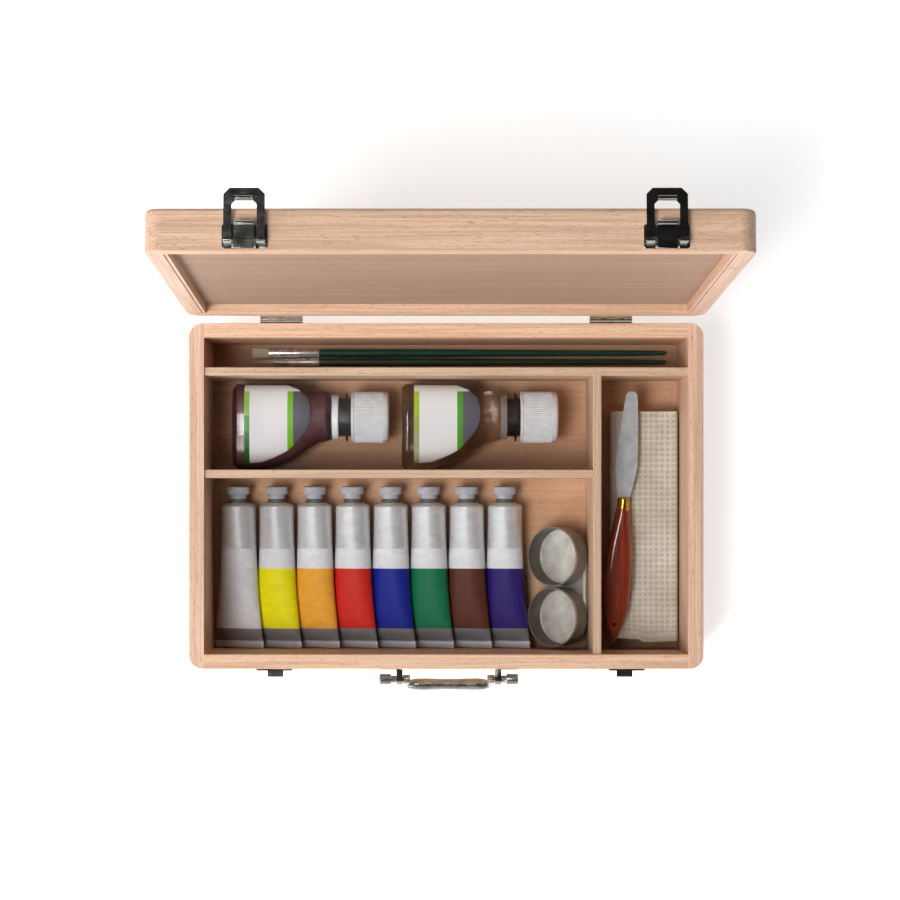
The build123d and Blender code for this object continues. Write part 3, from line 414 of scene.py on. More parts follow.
# %% Plywood
ply_floor = planed_wood("birch_plywood_floor", ALONG_X, "#cfa585", "#c69a79", "#9a6d52",
                        (10.0, 40.0, 0.0), roughness=0.6, streaks=0.2)
ply_lid = planed_wood("birch_plywood_lid", LID_X, "#ae917e", "#a58673", "#94705c",
                      (400.0, 10.0, 0.0), roughness=0.6, streaks=0.2)
dress(ply_floor, "bottom_board")
dress(ply_lid, "lid_panel", "lid_inner_board")

# %% [markdown]
# The fittings are pressed from nickel-plated steel and tumbled: bright, a little soft in its
# reflections, with faint cloudy patches and hair-fine scratches. Nickel, tin and steel have
# hardly any colour of their own, so their base colours stay close to grey and the life is in the
# roughness. Only brass has a tint.

# %% Plated steel and brass
def worked_metal(name, light, dark, rough_low, rough_high, line_turn=ALONG_X, line_depth=0.05,
                 metallic=1.0):
    """Metal with cloudy roughness and fine lines left by its working."""
    material, tree, shader, seen = start_material(name, Metallic=metallic)
    place = put(tree, "ShaderNodeMapping", {"Vector": seen, "Rotation": line_turn}).outputs[0]
    clouds = stretched(tree, place, 7.0, 7.0, 4.0)
    lines = stretched(tree, place, 30.0, 0.35, 2.0)
    mixed = put(tree, "ShaderNodeMath", {0: clouds, 1: lines}, operation="MULTIPLY").outputs[0]
    rough = put(tree, "ShaderNodeMapRange", {0: mixed, 1: 0.12, 2: 0.38, 3: rough_low,
                                             4: rough_high}).outputs[0]
    surface(tree, shader, tones(tree, clouds, [(0.35, dark), (0.65, light)]), rough, lines,
            line_depth, 0.1)
    return material


nickel = worked_metal("nickel_plated_steel", "#d3d2ce", "#bdbcb9", 0.1, 0.18)
cast_nickel = worked_metal("nickel_plated_casting", "#aaa9a6", "#908f8d", 0.2, 0.34)
spring_steel = worked_metal("ground_spring_steel", "#d6dce1", "#c4cbd1", 0.36, 0.46, ALONG_Y,
                            line_depth=0.12, metallic=0.55)
tinplate = worked_metal("drawn_tinplate", "#cfccc4", "#b5b1a9", 0.34, 0.5, metallic=0.85)
ferrule_nickel = worked_metal("satin_nickel", "#f0f2f4", "#dcdfe2", 0.25, 0.3, line_depth=0.0,
                              metallic=0.65)
brass = worked_metal("polished_brass", "#e8c25c", "#c99a3a", 0.16, 0.3, ALONG_Y)

# %% [markdown]
# Hinges, latches, strikes, handle and screws keep the CAD shapes, such as the cross recess of each
# screw. The merged copies carry smooth barrels and crisp sheet edges.

# %% Fittings
FITTINGS = (
    # CAD node, piece, body, finish
    ("hinge_base_leaves", "hinge_leaves_on_the_base", "case", nickel),
    ("hinge_lid_leaves", "hinge_leaves_on_the_lid", "lid", nickel),
    ("hinge_pins", "hinge_pins_smooth", "case", nickel),
    ("strike_plates", "strikes_with_hooks", "case", nickel),
    ("handle_brackets", "handle_brackets_smooth", "case", nickel),
    ("base_screws", "screws_in_the_base", "case", nickel),
    ("lid_screws", "screws_in_the_lid", "lid", nickel),
    ("lid_catch", "catch_in_the_rim", "lid", cast_nickel),
    ("latch_plates", "latch_plates_smooth", "lid", nickel),
    ("latch_lever_left", "lever_of_the_left_latch", "lever_left", nickel),
    ("latch_lever_right", "lever_of_the_right_latch", "lever_right", nickel),
    ("latch_loop_left", "loop_of_the_left_latch", "loop_left", nickel),
    ("latch_loop_right", "loop_of_the_right_latch", "loop_right", nickel),
    ("handle_bail", "cast_bail", "handle", cast_nickel),
)
for node, name, body, finish in FITTINGS:
    smooth_copy(node, name, finish, body, "bright_steel")

# %% [markdown]
# Some pieces repeat by a rule, and Geometry Nodes say the rule once. A helper starts a tree with
# named inputs, and another runs it on a piece and keeps the result as a plain mesh, because the
# export drops instances.

# %% Running a rule
def start_rule(name, **inputs):
    """A Geometry Nodes tree with a geometry input and named inputs of the given kinds."""
    tree = bpy.data.node_groups.new(name, "GeometryNodeTree")
    tree.interface.new_socket("Geometry", in_out="INPUT", socket_type="NodeSocketGeometry")
    tree.interface.new_socket("Geometry", in_out="OUTPUT", socket_type="NodeSocketGeometry")
    for key, kind in inputs.items():
        tree.interface.new_socket(key, in_out="INPUT", socket_type="NodeSocket" + kind)
    return tree, tree.nodes.new("NodeGroupInput"), tree.nodes.new("NodeGroupOutput")


def run_rule(piece, tree, **values):
    """Runs a tree on a piece and keeps what it makes as the piece's own mesh."""
    modifier = piece.modifiers.new("rule", "NODES")
    modifier.node_group = tree
    for item in tree.interface.items_tree:
        if item.in_out == "INPUT" and item.name in values:
            modifier[item.identifier] = values[item.name]
    return keep_result(piece, modifier)


# %% [markdown]
# A screw cap has fine ribs so that fingers can turn it. On the bottles they run between two smooth
# bands. Each rib is a thin six-sided rod sunk half into the wall, instanced round a circle and
# turned with its place on it. The tree works about Z; the mesh is moved to the cap's axis
# afterwards, so the object itself stays at the origin.

# %% The rule for ribs round a cap
ribs, given, result = start_rule("ribs_round_a_cap", Radius="Float", Start="Float", Length="Float",
                                 Count="Int", Width="Float", Finish="Material")
circle = put(ribs, "GeometryNodeMeshCircle", {"Vertices": given.outputs["Count"],
                                              "Radius": given.outputs["Radius"]})
thin = put(ribs, "ShaderNodeMath", {0: given.outputs["Width"], 1: 0.5}, operation="MULTIPLY")
rod = put(ribs, "GeometryNodeMeshCylinder", {"Vertices": 6, "Radius": thin.outputs[0],
                                             "Depth": given.outputs["Length"]},
          fill_type="TRIANGLE_FAN")
share = put(ribs, "ShaderNodeMath", {0: put(ribs, "GeometryNodeInputIndex").outputs[0],
                                     1: given.outputs["Count"]}, operation="DIVIDE")
turn = put(ribs, "ShaderNodeMath", {0: share.outputs[0], 1: 2 * math.pi}, operation="MULTIPLY")
rods = put(ribs, "GeometryNodeInstanceOnPoints",
           {"Points": circle.outputs["Mesh"], "Instance": rod.outputs["Mesh"],
            "Rotation": put(ribs, "ShaderNodeCombineXYZ", {"Z": turn.outputs[0]}).outputs[0]})
half = put(ribs, "ShaderNodeMath", {0: given.outputs["Length"], 1: 0.5}, operation="MULTIPLY")
middle = put(ribs, "ShaderNodeMath", {0: half.outputs[0], 1: given.outputs["Start"]},
             operation="ADD")
raise_by = put(ribs, "ShaderNodeCombineXYZ", {"Z": middle.outputs[0]})
raised = put(ribs, "GeometryNodeTransform", {"Geometry": rods.outputs[0],
                                             "Translation": raise_by.outputs[0]})
plain = put(ribs, "GeometryNodeRealizeInstances", {"Geometry": raised.outputs[0]})
both = put(ribs, "GeometryNodeJoinGeometry", {"Geometry": given.outputs["Geometry"]})
ribs.links.new(plain.outputs[0], both.inputs[0])
painted = put(ribs, "GeometryNodeSetMaterial", {"Geometry": both.outputs[0],
                                                "Material": given.outputs["Finish"]})
ribs.links.new(painted.outputs[0], result.inputs[0])


def ribbed_cap(name, origin, axis, profile, material, rib_span, rib_radius, count, rib_width):
    """A turned cap with ribs, made about Z and then brought onto its axis."""
    cap = turned(name, (0, 0, 0), (0, 0, 1), profile, material, 96)
    run_rule(cap, ribs, Radius=rib_radius * MM, Start=rib_span[0] * MM,
             Length=(rib_span[1] - rib_span[0]) * MM, Count=count, Width=rib_width * MM,
             Finish=material)
    place = Vector((0, 0, 1)).rotation_difference(Vector(axis)).to_matrix().to_4x4()
    cap.data.transform(Matrix.Translation(Vector(origin) * MM) @ place)
    return cap


print("rule for ribs:", len(ribs.nodes), "nodes")

# %% [markdown]
# The caps of the bottles are moulded polypropylene: white with a soft sheen, and a faint mottle
# where dust has settled between the ribs. Those of the tubes are the same plastic in lilac grey.

# %% Moulded plastic
def moulded_plastic(name, light, dark, roughness):
    """Moulded plastic with a faint mottle and a slight orange peel."""
    material, tree, shader, seen = start_material(name, Roughness=roughness, IOR=1.49)
    mottle = stretched(tree, seen, 6.0, 6.0, 4.0)
    peel = stretched(tree, seen, 1.6, 1.6, 1.0)
    surface(tree, shader, tones(tree, mottle, [(0.35, dark), (0.65, light)]), height=peel,
            strength=0.05, depth_mm=0.1)
    return material


white_cap = moulded_plastic("white_moulded_polypropylene", "#dde0e3", "#d0d3d7", 0.35)
lilac_cap = moulded_plastic("lilac_grey_moulded_polypropylene", "#a9aab2", "#999aa3", 0.42)
dark_plug = moulded_plastic("black_moulded_polyethylene", "#2c2b2d", "#1d1c1e", 0.4)
print("three plastics")

# %% [markdown]
# The bottles are flattened flasks of blown glass that lie on their backs. The section is a squared
# oval that stays full for the first third and then slopes to an offset neck, more on one shoulder
# than on the other. The table is the same as in the CAD source; a smooth curve through its rows
# gives many more rings than it has rows, so the glass has no facets for the light to catch.

# %% A bottle's shape
BOTTLE_TABLE = np.array((
    # distance from the base, middle in Y, half width, half thickness, squareness
    (0.0, 52.4, 29.5, 16.2, 3.0), (2.2, 52.4, 31.7, 18.6, 3.0), (6.5, 52.4, 32.2, 19.2, 3.0),
    (24.0, 52.4, 32.2, 19.2, 3.0), (36.0, 54.2, 30.5, 19.2, 2.8), (46.0, 56.6, 28.1, 19.1, 2.6),
    (52.0, 58.1, 25.7, 19.0, 2.5), (57.0, 58.1, 22.4, 18.7, 2.4), (60.5, 58.2, 20.5, 18.4, 2.3),
    (65.0, 59.6, 19.5, 18.2, 2.2), (69.0, 60.2, 19.1, 18.0, 2.1), (73.0, 59.6, 17.4, 17.4, 2.0)))
BOTTLE_AXIS_Z = 25.6
BOTTLES = (("bottle_left", -159.4, "dark_bottle"), ("bottle_right", -32.7, "clear_bottle"))
NECK_Y = 59.6
MEDIUM_INSET = 1.3  # how far the medium stays inside the glass
AROUND = 72  # points in a ring of glass
NECK = (
    # distance from the base, radius
    (73.3, 16.8), (78.7, 16.8), (78.95, 16.4), (79.1, 14.7), (84.3, 14.7), (84.5, 18.2),
    (84.8, 18.5), (85.9, 18.5), (86.2, 18.2), (86.3, 14.7), (88.6, 14.7), (88.6, 13.6),
    (113.2, 13.6))


def bottle_row(distance):
    """The section's values at a distance from the base, on a smooth curve through the table."""
    at = BOTTLE_TABLE[:, 0]
    slopes = np.gradient(BOTTLE_TABLE, at, axis=0)
    i = int(np.clip(np.searchsorted(at, distance) - 1, 0, len(at) - 2))
    span = at[i + 1] - at[i]
    t = (distance - at[i]) / span
    a, b = BOTTLE_TABLE[i], BOTTLE_TABLE[i + 1]
    return ((2 * t**3 - 3 * t**2 + 1) * a + (t**3 - 2 * t**2 + t) * span * slopes[i]
            + (3 * t**2 - 2 * t**3) * b + (t**3 - t**2) * span * slopes[i + 1])


def bottle_ring(start, distance, inset=0.0):
    """Points round the bottle at a distance from its base, moved inwards by the inset."""
    _, middle, wide, thick, square = bottle_row(distance)
    points = []
    for t in round_turns(AROUND):
        c, s = math.cos(t), math.sin(t)
        points.append((
            start + distance,
            middle + (wide - inset) * abs(c) ** (2 / square) * (1 if c > 0 else -1),
            BOTTLE_AXIS_Z + (thick - inset) * abs(s) ** (2 / square) * (1 if s > 0 else -1)))
    return points


def neck_ring(x, radius):
    """Points round the bottle's neck."""
    return [(x, NECK_Y + radius * math.cos(t), BOTTLE_AXIS_Z + radius * math.sin(t))
            for t in round_turns(AROUND)]


print("widest section", bottle_row(20.0).round(1))

# %% [markdown]
# Glass is clear soda-lime with its real index of 1.5 and a slight waviness from blowing. The left
# bottle is full of a dark red-brown medium: an opaque body a little inside the glass,
# which leaves the pale edge that thick glass shows. Its glass casts no shadow, so that the medium
# is lit without noise. The right one holds a clear spirit, so it is filled glass with a faint smoky
# tint, and the board under it shows through.

# %% Glass and liquid
def blown_glass(name, tint):
    """Glass with a constant tint and gentle waves."""
    material, tree, shader, seen = start_material(name, Roughness=0.13, IOR=1.5,
                                                  Transmission_Weight=1.0, Base_Color=linear(tint))
    surface(tree, shader, height=stretched(tree, seen, 14.0, 9.0, 1.0), strength=0.25,
            depth_mm=0.6)
    return material


clear_glass = blown_glass("clear_soda_glass", "#eef0ec")
smoky_glass = blown_glass("smoky_soda_glass", "#c9bdb2")
medium, tree, shader, seen = start_material("dark_painting_medium", Roughness=0.4, IOR=1.47)
surface(tree, shader, tones(tree, stretched(tree, seen, 50.0, 30.0, 1.0), [(0.3, "#3f1c23"),
                                                                           (0.7, "#5d343b")]))
GLASS_RINGS = [0.0, 0.4, 1.1, 2.2, 3.6, 5.0, 6.5, *np.arange(9.0, 73.0, 2.0), 73.0]

for name, start, slot in BOTTLES:
    dark = slot == "dark_bottle"
    rings = [bottle_ring(start, 0.0, inset) for inset in (12.0, 4.0, 1.0)]
    rings += [bottle_ring(start, d) for d in GLASS_RINGS]
    rings += [neck_ring(start + d, r) for d, r in NECK]
    glass = skin(name + "_glass", rings, clear_glass if dark else smoky_glass, 40)
    glass.visible_shadow = not dark
    settle(glass, name, slot, name)
    if dark:
        rings = [bottle_ring(start, 2.6, 8.0), bottle_ring(start, 2.6, 4.5)]
        rings += [bottle_ring(start, d, MEDIUM_INSET) for d in np.arange(3.6, 71.5, 2.0)]
        rings += [bottle_ring(start, 71.5, 6.0)]
        settle(skin(name + "_medium", rings, medium, 40), name, slot)
    plug = turned(name + "_plug", (start + 78.9, NECK_Y, BOTTLE_AXIS_Z), (1, 0, 0),
                  [(0, 0), (0, 13.4), (0.4, 13.9), (9.5, 13.9), (9.9, 13.0), (9.9, 0)], dark_plug)
    settle(plug, name, "grey_plastic")

# %% [markdown]
# Each cap has smooth bands at its ends. 76 ribs on a circumference of about 120 mm put them 1.6 mm
# apart. Under it a pale pouring insert sits in the glass neck.

# %% Bottle caps
BOTTLE_CAP = [(0, 13.75), (0, 18.9), (0.3, 19.3), (1.9, 19.3), (2.1, 18.7), (23.4, 18.7),
              (23.6, 19.2), (26.2, 19.1), (27.4, 18.4), (28.1, 17.2), (28.4, 15.2), (28.4, 0)]
for name, start, _ in BOTTLES:
    cap = ribbed_cap(name + "_cap_ribbed", (start + 88.75, NECK_Y, BOTTLE_AXIS_Z), (1, 0, 0),
                     BOTTLE_CAP, white_cap, rib_span=(2.1, 23.5), rib_radius=18.8, count=76,
                     rib_width=0.95)
    settle(cap, name + "_cap", "white_plastic", name + "_cap")
    insert = turned(name + "_insert", (start + 74.2, NECK_Y, BOTTLE_AXIS_Z), (1, 0, 0),
                    [(0, 0), (0, 15.2), (0.3, 15.5), (4.1, 15.5), (4.4, 15.2), (4.4, 0)], white_cap)
    settle(insert, name, "white_plastic")

# %% [markdown]
# The labels are paper, printed in plain fields of colour. The paper follows the front of the glass:
# for each place on it, the height comes from the same squared oval. Its right end is a round arc
# and its lower edge follows the shoulder.

# %% Labels
LABEL_X, LABEL_Y = (8.0, 60.0), (24.0, 84.0)  # what the fields of colour are spread over
STRIPE, MARGIN_Y = 5.0, 78.4


def label_finish(name, start, stops, greens):
    """Printed paper with fields of colour along the bottle and steps of green in the first one."""
    material, tree, shader, seen = start_material(name, Roughness=0.42, Coat_Weight=0.25,
                                                  Coat_Roughness=0.2)
    axes = put(tree, "ShaderNodeSeparateXYZ", {0: seen})
    along = put(tree, "ShaderNodeMapRange", {0: axes.outputs["X"], 1: (start + LABEL_X[0]) * MM,
                                             2: (start + LABEL_X[1]) * MM}).outputs[0]
    across = put(tree, "ShaderNodeMapRange", {0: axes.outputs["Y"], 1: LABEL_Y[0] * MM,
                                              2: LABEL_Y[1] * MM}).outputs[0]
    span = LABEL_X[1] - LABEL_X[0]
    fields = tones(tree, along, [((d - LABEL_X[0]) / span, code) for d, code in stops], steps=True)
    green = tones(tree, across, [(k / len(greens), code) for k, code in enumerate(greens)],
                  steps=True)
    stripe = put(tree, "ShaderNodeMath", {0: along, 1: STRIPE / span}, operation="LESS_THAN")
    striped = put(tree, "ShaderNodeMix", {0: stripe.outputs[0], 6: fields, 7: green},
                  data_type="RGBA")
    margin = put(tree, "ShaderNodeMath", {0: axes.outputs["Y"], 1: MARGIN_Y * MM},
                 operation="GREATER_THAN")
    printed = put(tree, "ShaderNodeMix", {0: margin.outputs[0], 6: striped.outputs[2],
                                          7: linear("#dfe1e4")}, data_type="RGBA").outputs[2]
    fibres = stretched(tree, seen, 0.8, 0.8, 2.0)
    surface(tree, shader, tones(tree, fibres, [(0.4, "#dcdcdc"), (0.6, "#ffffff")], printed, 0.12))
    return material


def label_edges(distance):
    """The lowest and highest Y of the label at a distance from the bottle's base."""
    low = np.interp(distance, (9.1, 12.9, 22.0, 30.0, 38.0, 42.0, 46.0, 51.0, 56.2, 58.3),
                    (24.7, 24.7, 25.4, 28.2, 32.0, 34.4, 38.0, 43.7, 50.8, 57.5))
    high = np.interp(distance, (9.1, 41.0, 49.4, 56.1, 57.4, 58.3),
                     (83.4, 83.2, 79.8, 73.9, 70.0, 65.7))
    return low, high


def label_point(start, distance, y, lift):
    """A point over the front of the glass."""
    _, middle, wide, thick, square = bottle_row(distance)
    across = min(abs(y - middle) / wide, 0.985)
    return (start + distance, y,
            BOTTLE_AXIS_Z + thick * (1 - across ** square) ** (1 / square) + lift)


LABELS = {
    # fields of colour from a distance on, and greens from the lower edge up
    "bottle_left": ([(8.0, "#7fb23f"), (12.9, "#e6e8eb"), (41.2, "#76b82e"), (45.4, "#5a5964")],
                    ("#0d5c1c", "#147026", "#3f8f2a", "#8dbb4a", "#9ac25a")),
    "bottle_right": ([(8.0, "#8fb02c"), (12.9, "#e6e8eb"), (41.2, "#4f9a28"), (45.4, "#5a5964")],
                     ("#a9ac8a", "#9aa870", "#93ac3c", "#9cbc26", "#a6c62e")),
}
for name, start, slot in BOTTLES:
    finish = label_finish("printed_paper_" + name, start, *LABELS[name])
    grids = []
    for lift in (0.22, 0.06):
        grid = []
        for distance in np.linspace(9.1, 58.3, 60):
            low, high = label_edges(distance)
            grid.append([label_point(start, distance, low + (high - low) * k / 48, lift)
                         for k in range(49)])
        grids.append(grid)
    settle(sheet_between(name + "_label", *grids, finish), name, slot)

# %% [markdown]
# Paint tubes are soft aluminium foil, round at the shoulder and pressed flat at the other end,
# where the foil is folded over and crimped. The girth stays the same all along, so the thickness
# follows from the width. They lie shingled, each over the flat edge of the next. The same numbers
# as in the CAD source give the rings, with more of them, and small dents make the foil look
# handled.

# %% A tube's shape
TUBES = 8
FIRST_X, LAST_X, CRIMP_Y, REST_Z = -156.5, 45.1, -114.9, 6.3
RADIUS, CRIMP_HALF, CRIMP_THICK, FOLD, BODY = 12.9, 20.2, 2.4, 5.3, 103.2
FLAT_HALF, FLAT_THICK = 19.7, 1.5  # half width and half thickness of the foil at its crimp
NIP = 0.93  # from this share on the foil is nipped to the crimp
ROLL = math.radians(19.0)
crimp_z = REST_Z + CRIMP_HALF * math.sin(ROLL) + CRIMP_THICK / 2
rise = math.asin((REST_Z + RADIUS - crimp_z) / (BODY + FOLD))
tube_axis = Vector((0.0, math.cos(rise), math.sin(rise)))
tube_up = Vector((0.0, -math.sin(rise), math.cos(rise)))
tube_wide = Vector((math.cos(ROLL), 0.0, 0.0)) + tube_up * math.sin(ROLL)
tube_thick = tube_axis.cross(tube_wide)


def flattened(share):
    """Half width and half thickness of the oval, from round at 0 to the crimp at 1."""
    wide = RADIUS + (FLAT_HALF - RADIUS) * share ** 1.8
    low, high = 0.1, RADIUS + 0.1
    for _ in range(30):
        thick = (low + high) / 2
        h = ((wide - thick) / (wide + thick)) ** 2
        girth = math.pi * (wide + thick) * (1 + 3 * h / (10 + math.sqrt(4 - 3 * h))) / 2
        low, high = (low, thick) if girth > math.pi * RADIUS else (thick, high)
    thick *= 1 - 0.4 * share * (1 - share)
    return wide, thick + (FLAT_THICK - thick) * max(0.0, (share - NIP) / (1 - NIP))


def dent(distance, t, phases):
    """How far the handled foil is pressed in here."""
    share = max(0.0, min(1.0, (distance - FOLD) / BODY))
    waves = math.sin(3 * t + phases[0] + distance / 21) * math.sin(distance / 9 + phases[1])
    return 0.16 * share * (1 - share) * 4 * (waves + 1) / 2


def tube_ring(x, distance, wide, thick, phases=None):
    """Points round the tube at a distance from its folded end, dented where phases are given."""
    middle = Vector((x, CRIMP_Y, crimp_z)) + tube_axis * distance
    points = []
    for t in round_turns(48):
        shrink = 1.0 if phases is None else 1 - dent(distance, t, phases) / max(wide, 1.0)
        points.append(middle + tube_wide * (wide * math.cos(t) * shrink)
                      + tube_thick * (thick * math.sin(t) * shrink))
    return points


print("tube rise", round(math.degrees(rise), 2), "degrees")

# %% [markdown]
# The print on a tube is bands round the foil: bare silver at the shoulder, a white band, the
# paint's own colour, and bare foil again at the crimp. The bands run square to the tube, whose
# length lies along Y, so Object coordinates carry them. Where the foil is bare the shader turns
# metallic, and where it is printed it turns into glossy enamel.

# %% Printed foil
PRINT_Y = (-116.0, 4.0)  # what the bands are spread over
BANDS = (
    # from Y, tint, how bare the foil is
    (-116.0, "#cfd2d8", "#909090"),
    (-109.8, "#85878d", "#909090"),
    (-100.3, "paint", "#000000"),
    (-54.8, "#dadce0", "#202020"),
    (-39.8, "#e0e2e5", "#c0c0c0"),
    (-5.2, "#5c625f", "#505050"),
)
PAINTS = (("white", "#d3d5d9"), ("lemon", "#ebe20e"), ("yellow", "#eba636"), ("red", "#cc2a20"),
          ("ultramarine", "#14228c"), ("green", "#10704a"), ("brown", "#5a2f22"),
          ("purple", "#2b1a6a"))


def printed_foil(name, colour):
    """Aluminium foil with enamel bands along Y."""
    material, tree, shader, seen = start_material(name, IOR=1.5)
    y = put(tree, "ShaderNodeSeparateXYZ", {0: seen}).outputs["Y"]
    along = put(tree, "ShaderNodeMapRange", {0: y, 1: PRINT_Y[0] * MM,
                                             2: PRINT_Y[1] * MM}).outputs[0]
    places = [(edge - PRINT_Y[0]) / (PRINT_Y[1] - PRINT_Y[0]) for edge, _, _ in BANDS]
    tints = [colour if tint == "paint" else tint for _, tint, _ in BANDS]
    printed = tones(tree, along, list(zip(places, tints)), steps=True)
    metal = tones(tree, along, [(p, bare) for p, (_, _, bare) in zip(places, BANDS)], steps=True)
    bareness = put(tree, "ShaderNodeRGBToBW", {0: metal}).outputs[0]
    tree.links.new(bareness, shader.inputs["Metallic"])
    handled = stretched(tree, seen, 9.0, 4.0, 4.0)
    worn = tones(tree, handled, [(0.3, "#b8b8b8"), (0.7, "#ffffff")], printed, 0.25)
    rough = put(tree, "ShaderNodeMapRange", {0: handled, 1: 0.3, 2: 0.7, 3: 0.36, 4: 0.5})
    creases = stretched(tree, seen, 5.0, 2.5, 2.0, 0.8)
    pressed = put(tree, "ShaderNodeMath", {0: stretched(tree, seen, 1.8, 1.5, 2.0, 1.2),
                                           1: bareness}, operation="MULTIPLY")
    height = put(tree, "ShaderNodeMath", {0: creases, 1: pressed.outputs[0]}, operation="ADD")
    surface(tree, shader, worn, rough.outputs[0], height.outputs[0], 0.4, 0.22)
    return material


foils = [printed_foil("printed_foil_" + paint, colour) for paint, colour in PAINTS]
print("bands from", [band[0] for band in BANDS])

# %% Tubes
CAP_FROM = 4.7  # where a cap begins, past the body
FOLD_ROWS = (
    # distance, half width, half thickness
    (0.0, 19.7, 0.6), (0.15, 20.05, 1.0), (0.5, 20.2, 1.2), (4.8, 20.2, 1.2), (5.05, 20.15, 1.1),
    (5.25, 20.0, 0.95))
SHOULDER_ROWS = (
    # distance past the body, radius
    (-0.7, 12.7), (-0.3, 12.2), (0.9, 9.6), (2.0, 7.1), (2.3, 6.7), (2.4, 6.5), (4.4, 6.4),
    (4.5, 6.1), (4.5, 4.2), (10.1, 4.2), (10.1, 3.0))
TUBE_CAP = [(0, 4.4), (0, 6.3), (3.1, 6.5), (3.3, 7.8), (3.6, 8.3), (3.8, 8.4), (8.5, 8.4),
            (9.0, 8.2), (9.25, 7.6), (9.3, 5.2), (8.9, 4.9), (8.9, 0)]
end = FOLD + BODY
tube_noise = np.random.default_rng(7)
for number, (foil, (paint, _)) in enumerate(zip(foils, PAINTS)):
    tube = f"tube_{number + 1}"
    x = FIRST_X + number * (LAST_X - FIRST_X) / (TUBES - 1)
    phases = tube_noise.uniform(0, 2 * math.pi, 4)
    rings = [tube_ring(x, *row) for row in FOLD_ROWS]
    for share in np.linspace(1.0, 0.0, 44)[:-1]:
        rings.append(tube_ring(x, FOLD + BODY * (1 - share), *flattened(share), phases))
    rings.append(tube_ring(x, end - 1.0, RADIUS, RADIUS, phases))
    rings += [tube_ring(x, end + d, r, r) for d, r in SHOULDER_ROWS]
    settle(skin(tube + "_foil", rings, foil, 40), tube, "tube_" + paint, tube)
    cap_at = Vector((x, CRIMP_Y, crimp_z)) + tube_axis * (end + CAP_FROM)
    cap = ribbed_cap(tube + "_cap_ribbed", cap_at, tube_axis, TUBE_CAP, lilac_cap,
                     rib_span=(3.6, 8.7), rib_radius=8.35, count=56, rib_width=0.4)
    settle(cap, tube + "_cap", "grey_plastic", tube + "_cap")

# %% [markdown]
# The brushes: a handle turned in wood and dipped in dark green lacquer, a nickel ferrule pressed
# onto it, and pale hog bristle. Lacquer is a coat over a colour, so the coat carries the highlight.

# %% Lacquered handles and ferrules
lacquer, tree, shader, seen = start_material("green_dipped_lacquer", Roughness=0.3,
                                             Coat_Weight=1.0, Coat_Roughness=0.06)
surface(tree, shader, tones(tree, stretched(tree, seen, 30.0, 2.0), [(0.3, "#0f4233"),
                                                                     (0.7, "#185a49")]))
for brush in ("brush_back", "brush_front"):
    smooth_copy(brush + "_handle", brush + "_handle_turned", lacquer, brush, "lacquered_green", 40)
    smooth_copy(brush + "_ferrule", brush + "_ferrule_pressed", ferrule_nickel, brush,
                "bright_steel", 40)

# %% [markdown]
# Bristles are hundreds of thin hairs packed in an oval. The rule scatters points on an oval disc
# with a fixed seed and stands a three-sided cone on each, with its own length and a lean. The back
# brush lies flat and fans out a little; the front one stands on its edge and leans inwards to a
# point. These hide the CAD bristles.

# %% The rule for bristles
hairs, given, result = start_rule("bristles_in_a_ferrule", Width="Float", Thickness="Float",
                                  Length="Float", Density="Float", Hair="Float", Fan="Float",
                                  Seed="Int", Finish="Material")
disc = put(hairs, "GeometryNodeMeshCircle", {"Vertices": 24, "Radius": 0.5}, fill_type="NGON")
squeeze = put(hairs, "ShaderNodeCombineXYZ", {"X": given.outputs["Width"],
                                              "Y": given.outputs["Thickness"], "Z": 1.0})
oval = put(hairs, "GeometryNodeTransform", {"Geometry": disc.outputs[0],
                                            "Scale": squeeze.outputs[0]})
spots = put(hairs, "GeometryNodeDistributePointsOnFaces", {
    "Mesh": oval.outputs[0], "Density": given.outputs["Density"], "Seed": given.outputs["Seed"]})
tip = put(hairs, "ShaderNodeMath", {0: given.outputs["Hair"], 1: 0.4}, operation="MULTIPLY")
hair = put(hairs, "GeometryNodeMeshCone", {
    "Vertices": 3, "Side Segments": 2, "Radius Bottom": given.outputs["Hair"],
    "Radius Top": tip.outputs[0], "Depth": 1.0}, fill_type="TRIANGLE_FAN")
shortest = put(hairs, "ShaderNodeMath", {0: given.outputs["Length"], 1: 0.88},
               operation="MULTIPLY")
reach = put(hairs, "FunctionNodeRandomValue", {
    "Min": shortest.outputs[0], "Max": given.outputs["Length"], "Seed": given.outputs["Seed"]},
    data_type="FLOAT")
spot = put(hairs, "ShaderNodeSeparateXYZ", {0: put(hairs, "GeometryNodeInputPosition").outputs[0]})
aside = put(hairs, "ShaderNodeMath", {0: spot.outputs["Y"], 1: -1.0}, operation="MULTIPLY")
across = put(hairs, "ShaderNodeCombineXYZ", {"X": aside.outputs[0], "Y": spot.outputs["X"]})
lean = put(hairs, "ShaderNodeVectorMath", {0: across.outputs[0], "Scale": given.outputs["Fan"]},
           operation="SCALE")
stretch = put(hairs, "ShaderNodeCombineXYZ", {"X": 1.0, "Y": 1.0, "Z": reach.outputs[1]})
planted = put(hairs, "GeometryNodeInstanceOnPoints", {
    "Points": spots.outputs[0], "Instance": hair.outputs[0], "Rotation": lean.outputs[0],
    "Scale": stretch.outputs[0]})
grown = put(hairs, "GeometryNodeRealizeInstances", {"Geometry": planted.outputs[0]})
painted = put(hairs, "GeometryNodeSetMaterial", {"Geometry": grown.outputs[0],
                                                 "Material": given.outputs["Finish"]})
hairs.links.new(painted.outputs[0], result.inputs[0])

bristle, tree, shader, seen = start_material("bleached_hog_bristle", Roughness=0.55,
                                             Sheen_Weight=0.3)
surface(tree, shader, tones(tree, stretched(tree, seen, 12.0, 0.5), [(0.3, "#e2d7ae"),
                                                                     (0.7, "#fffbea")]))

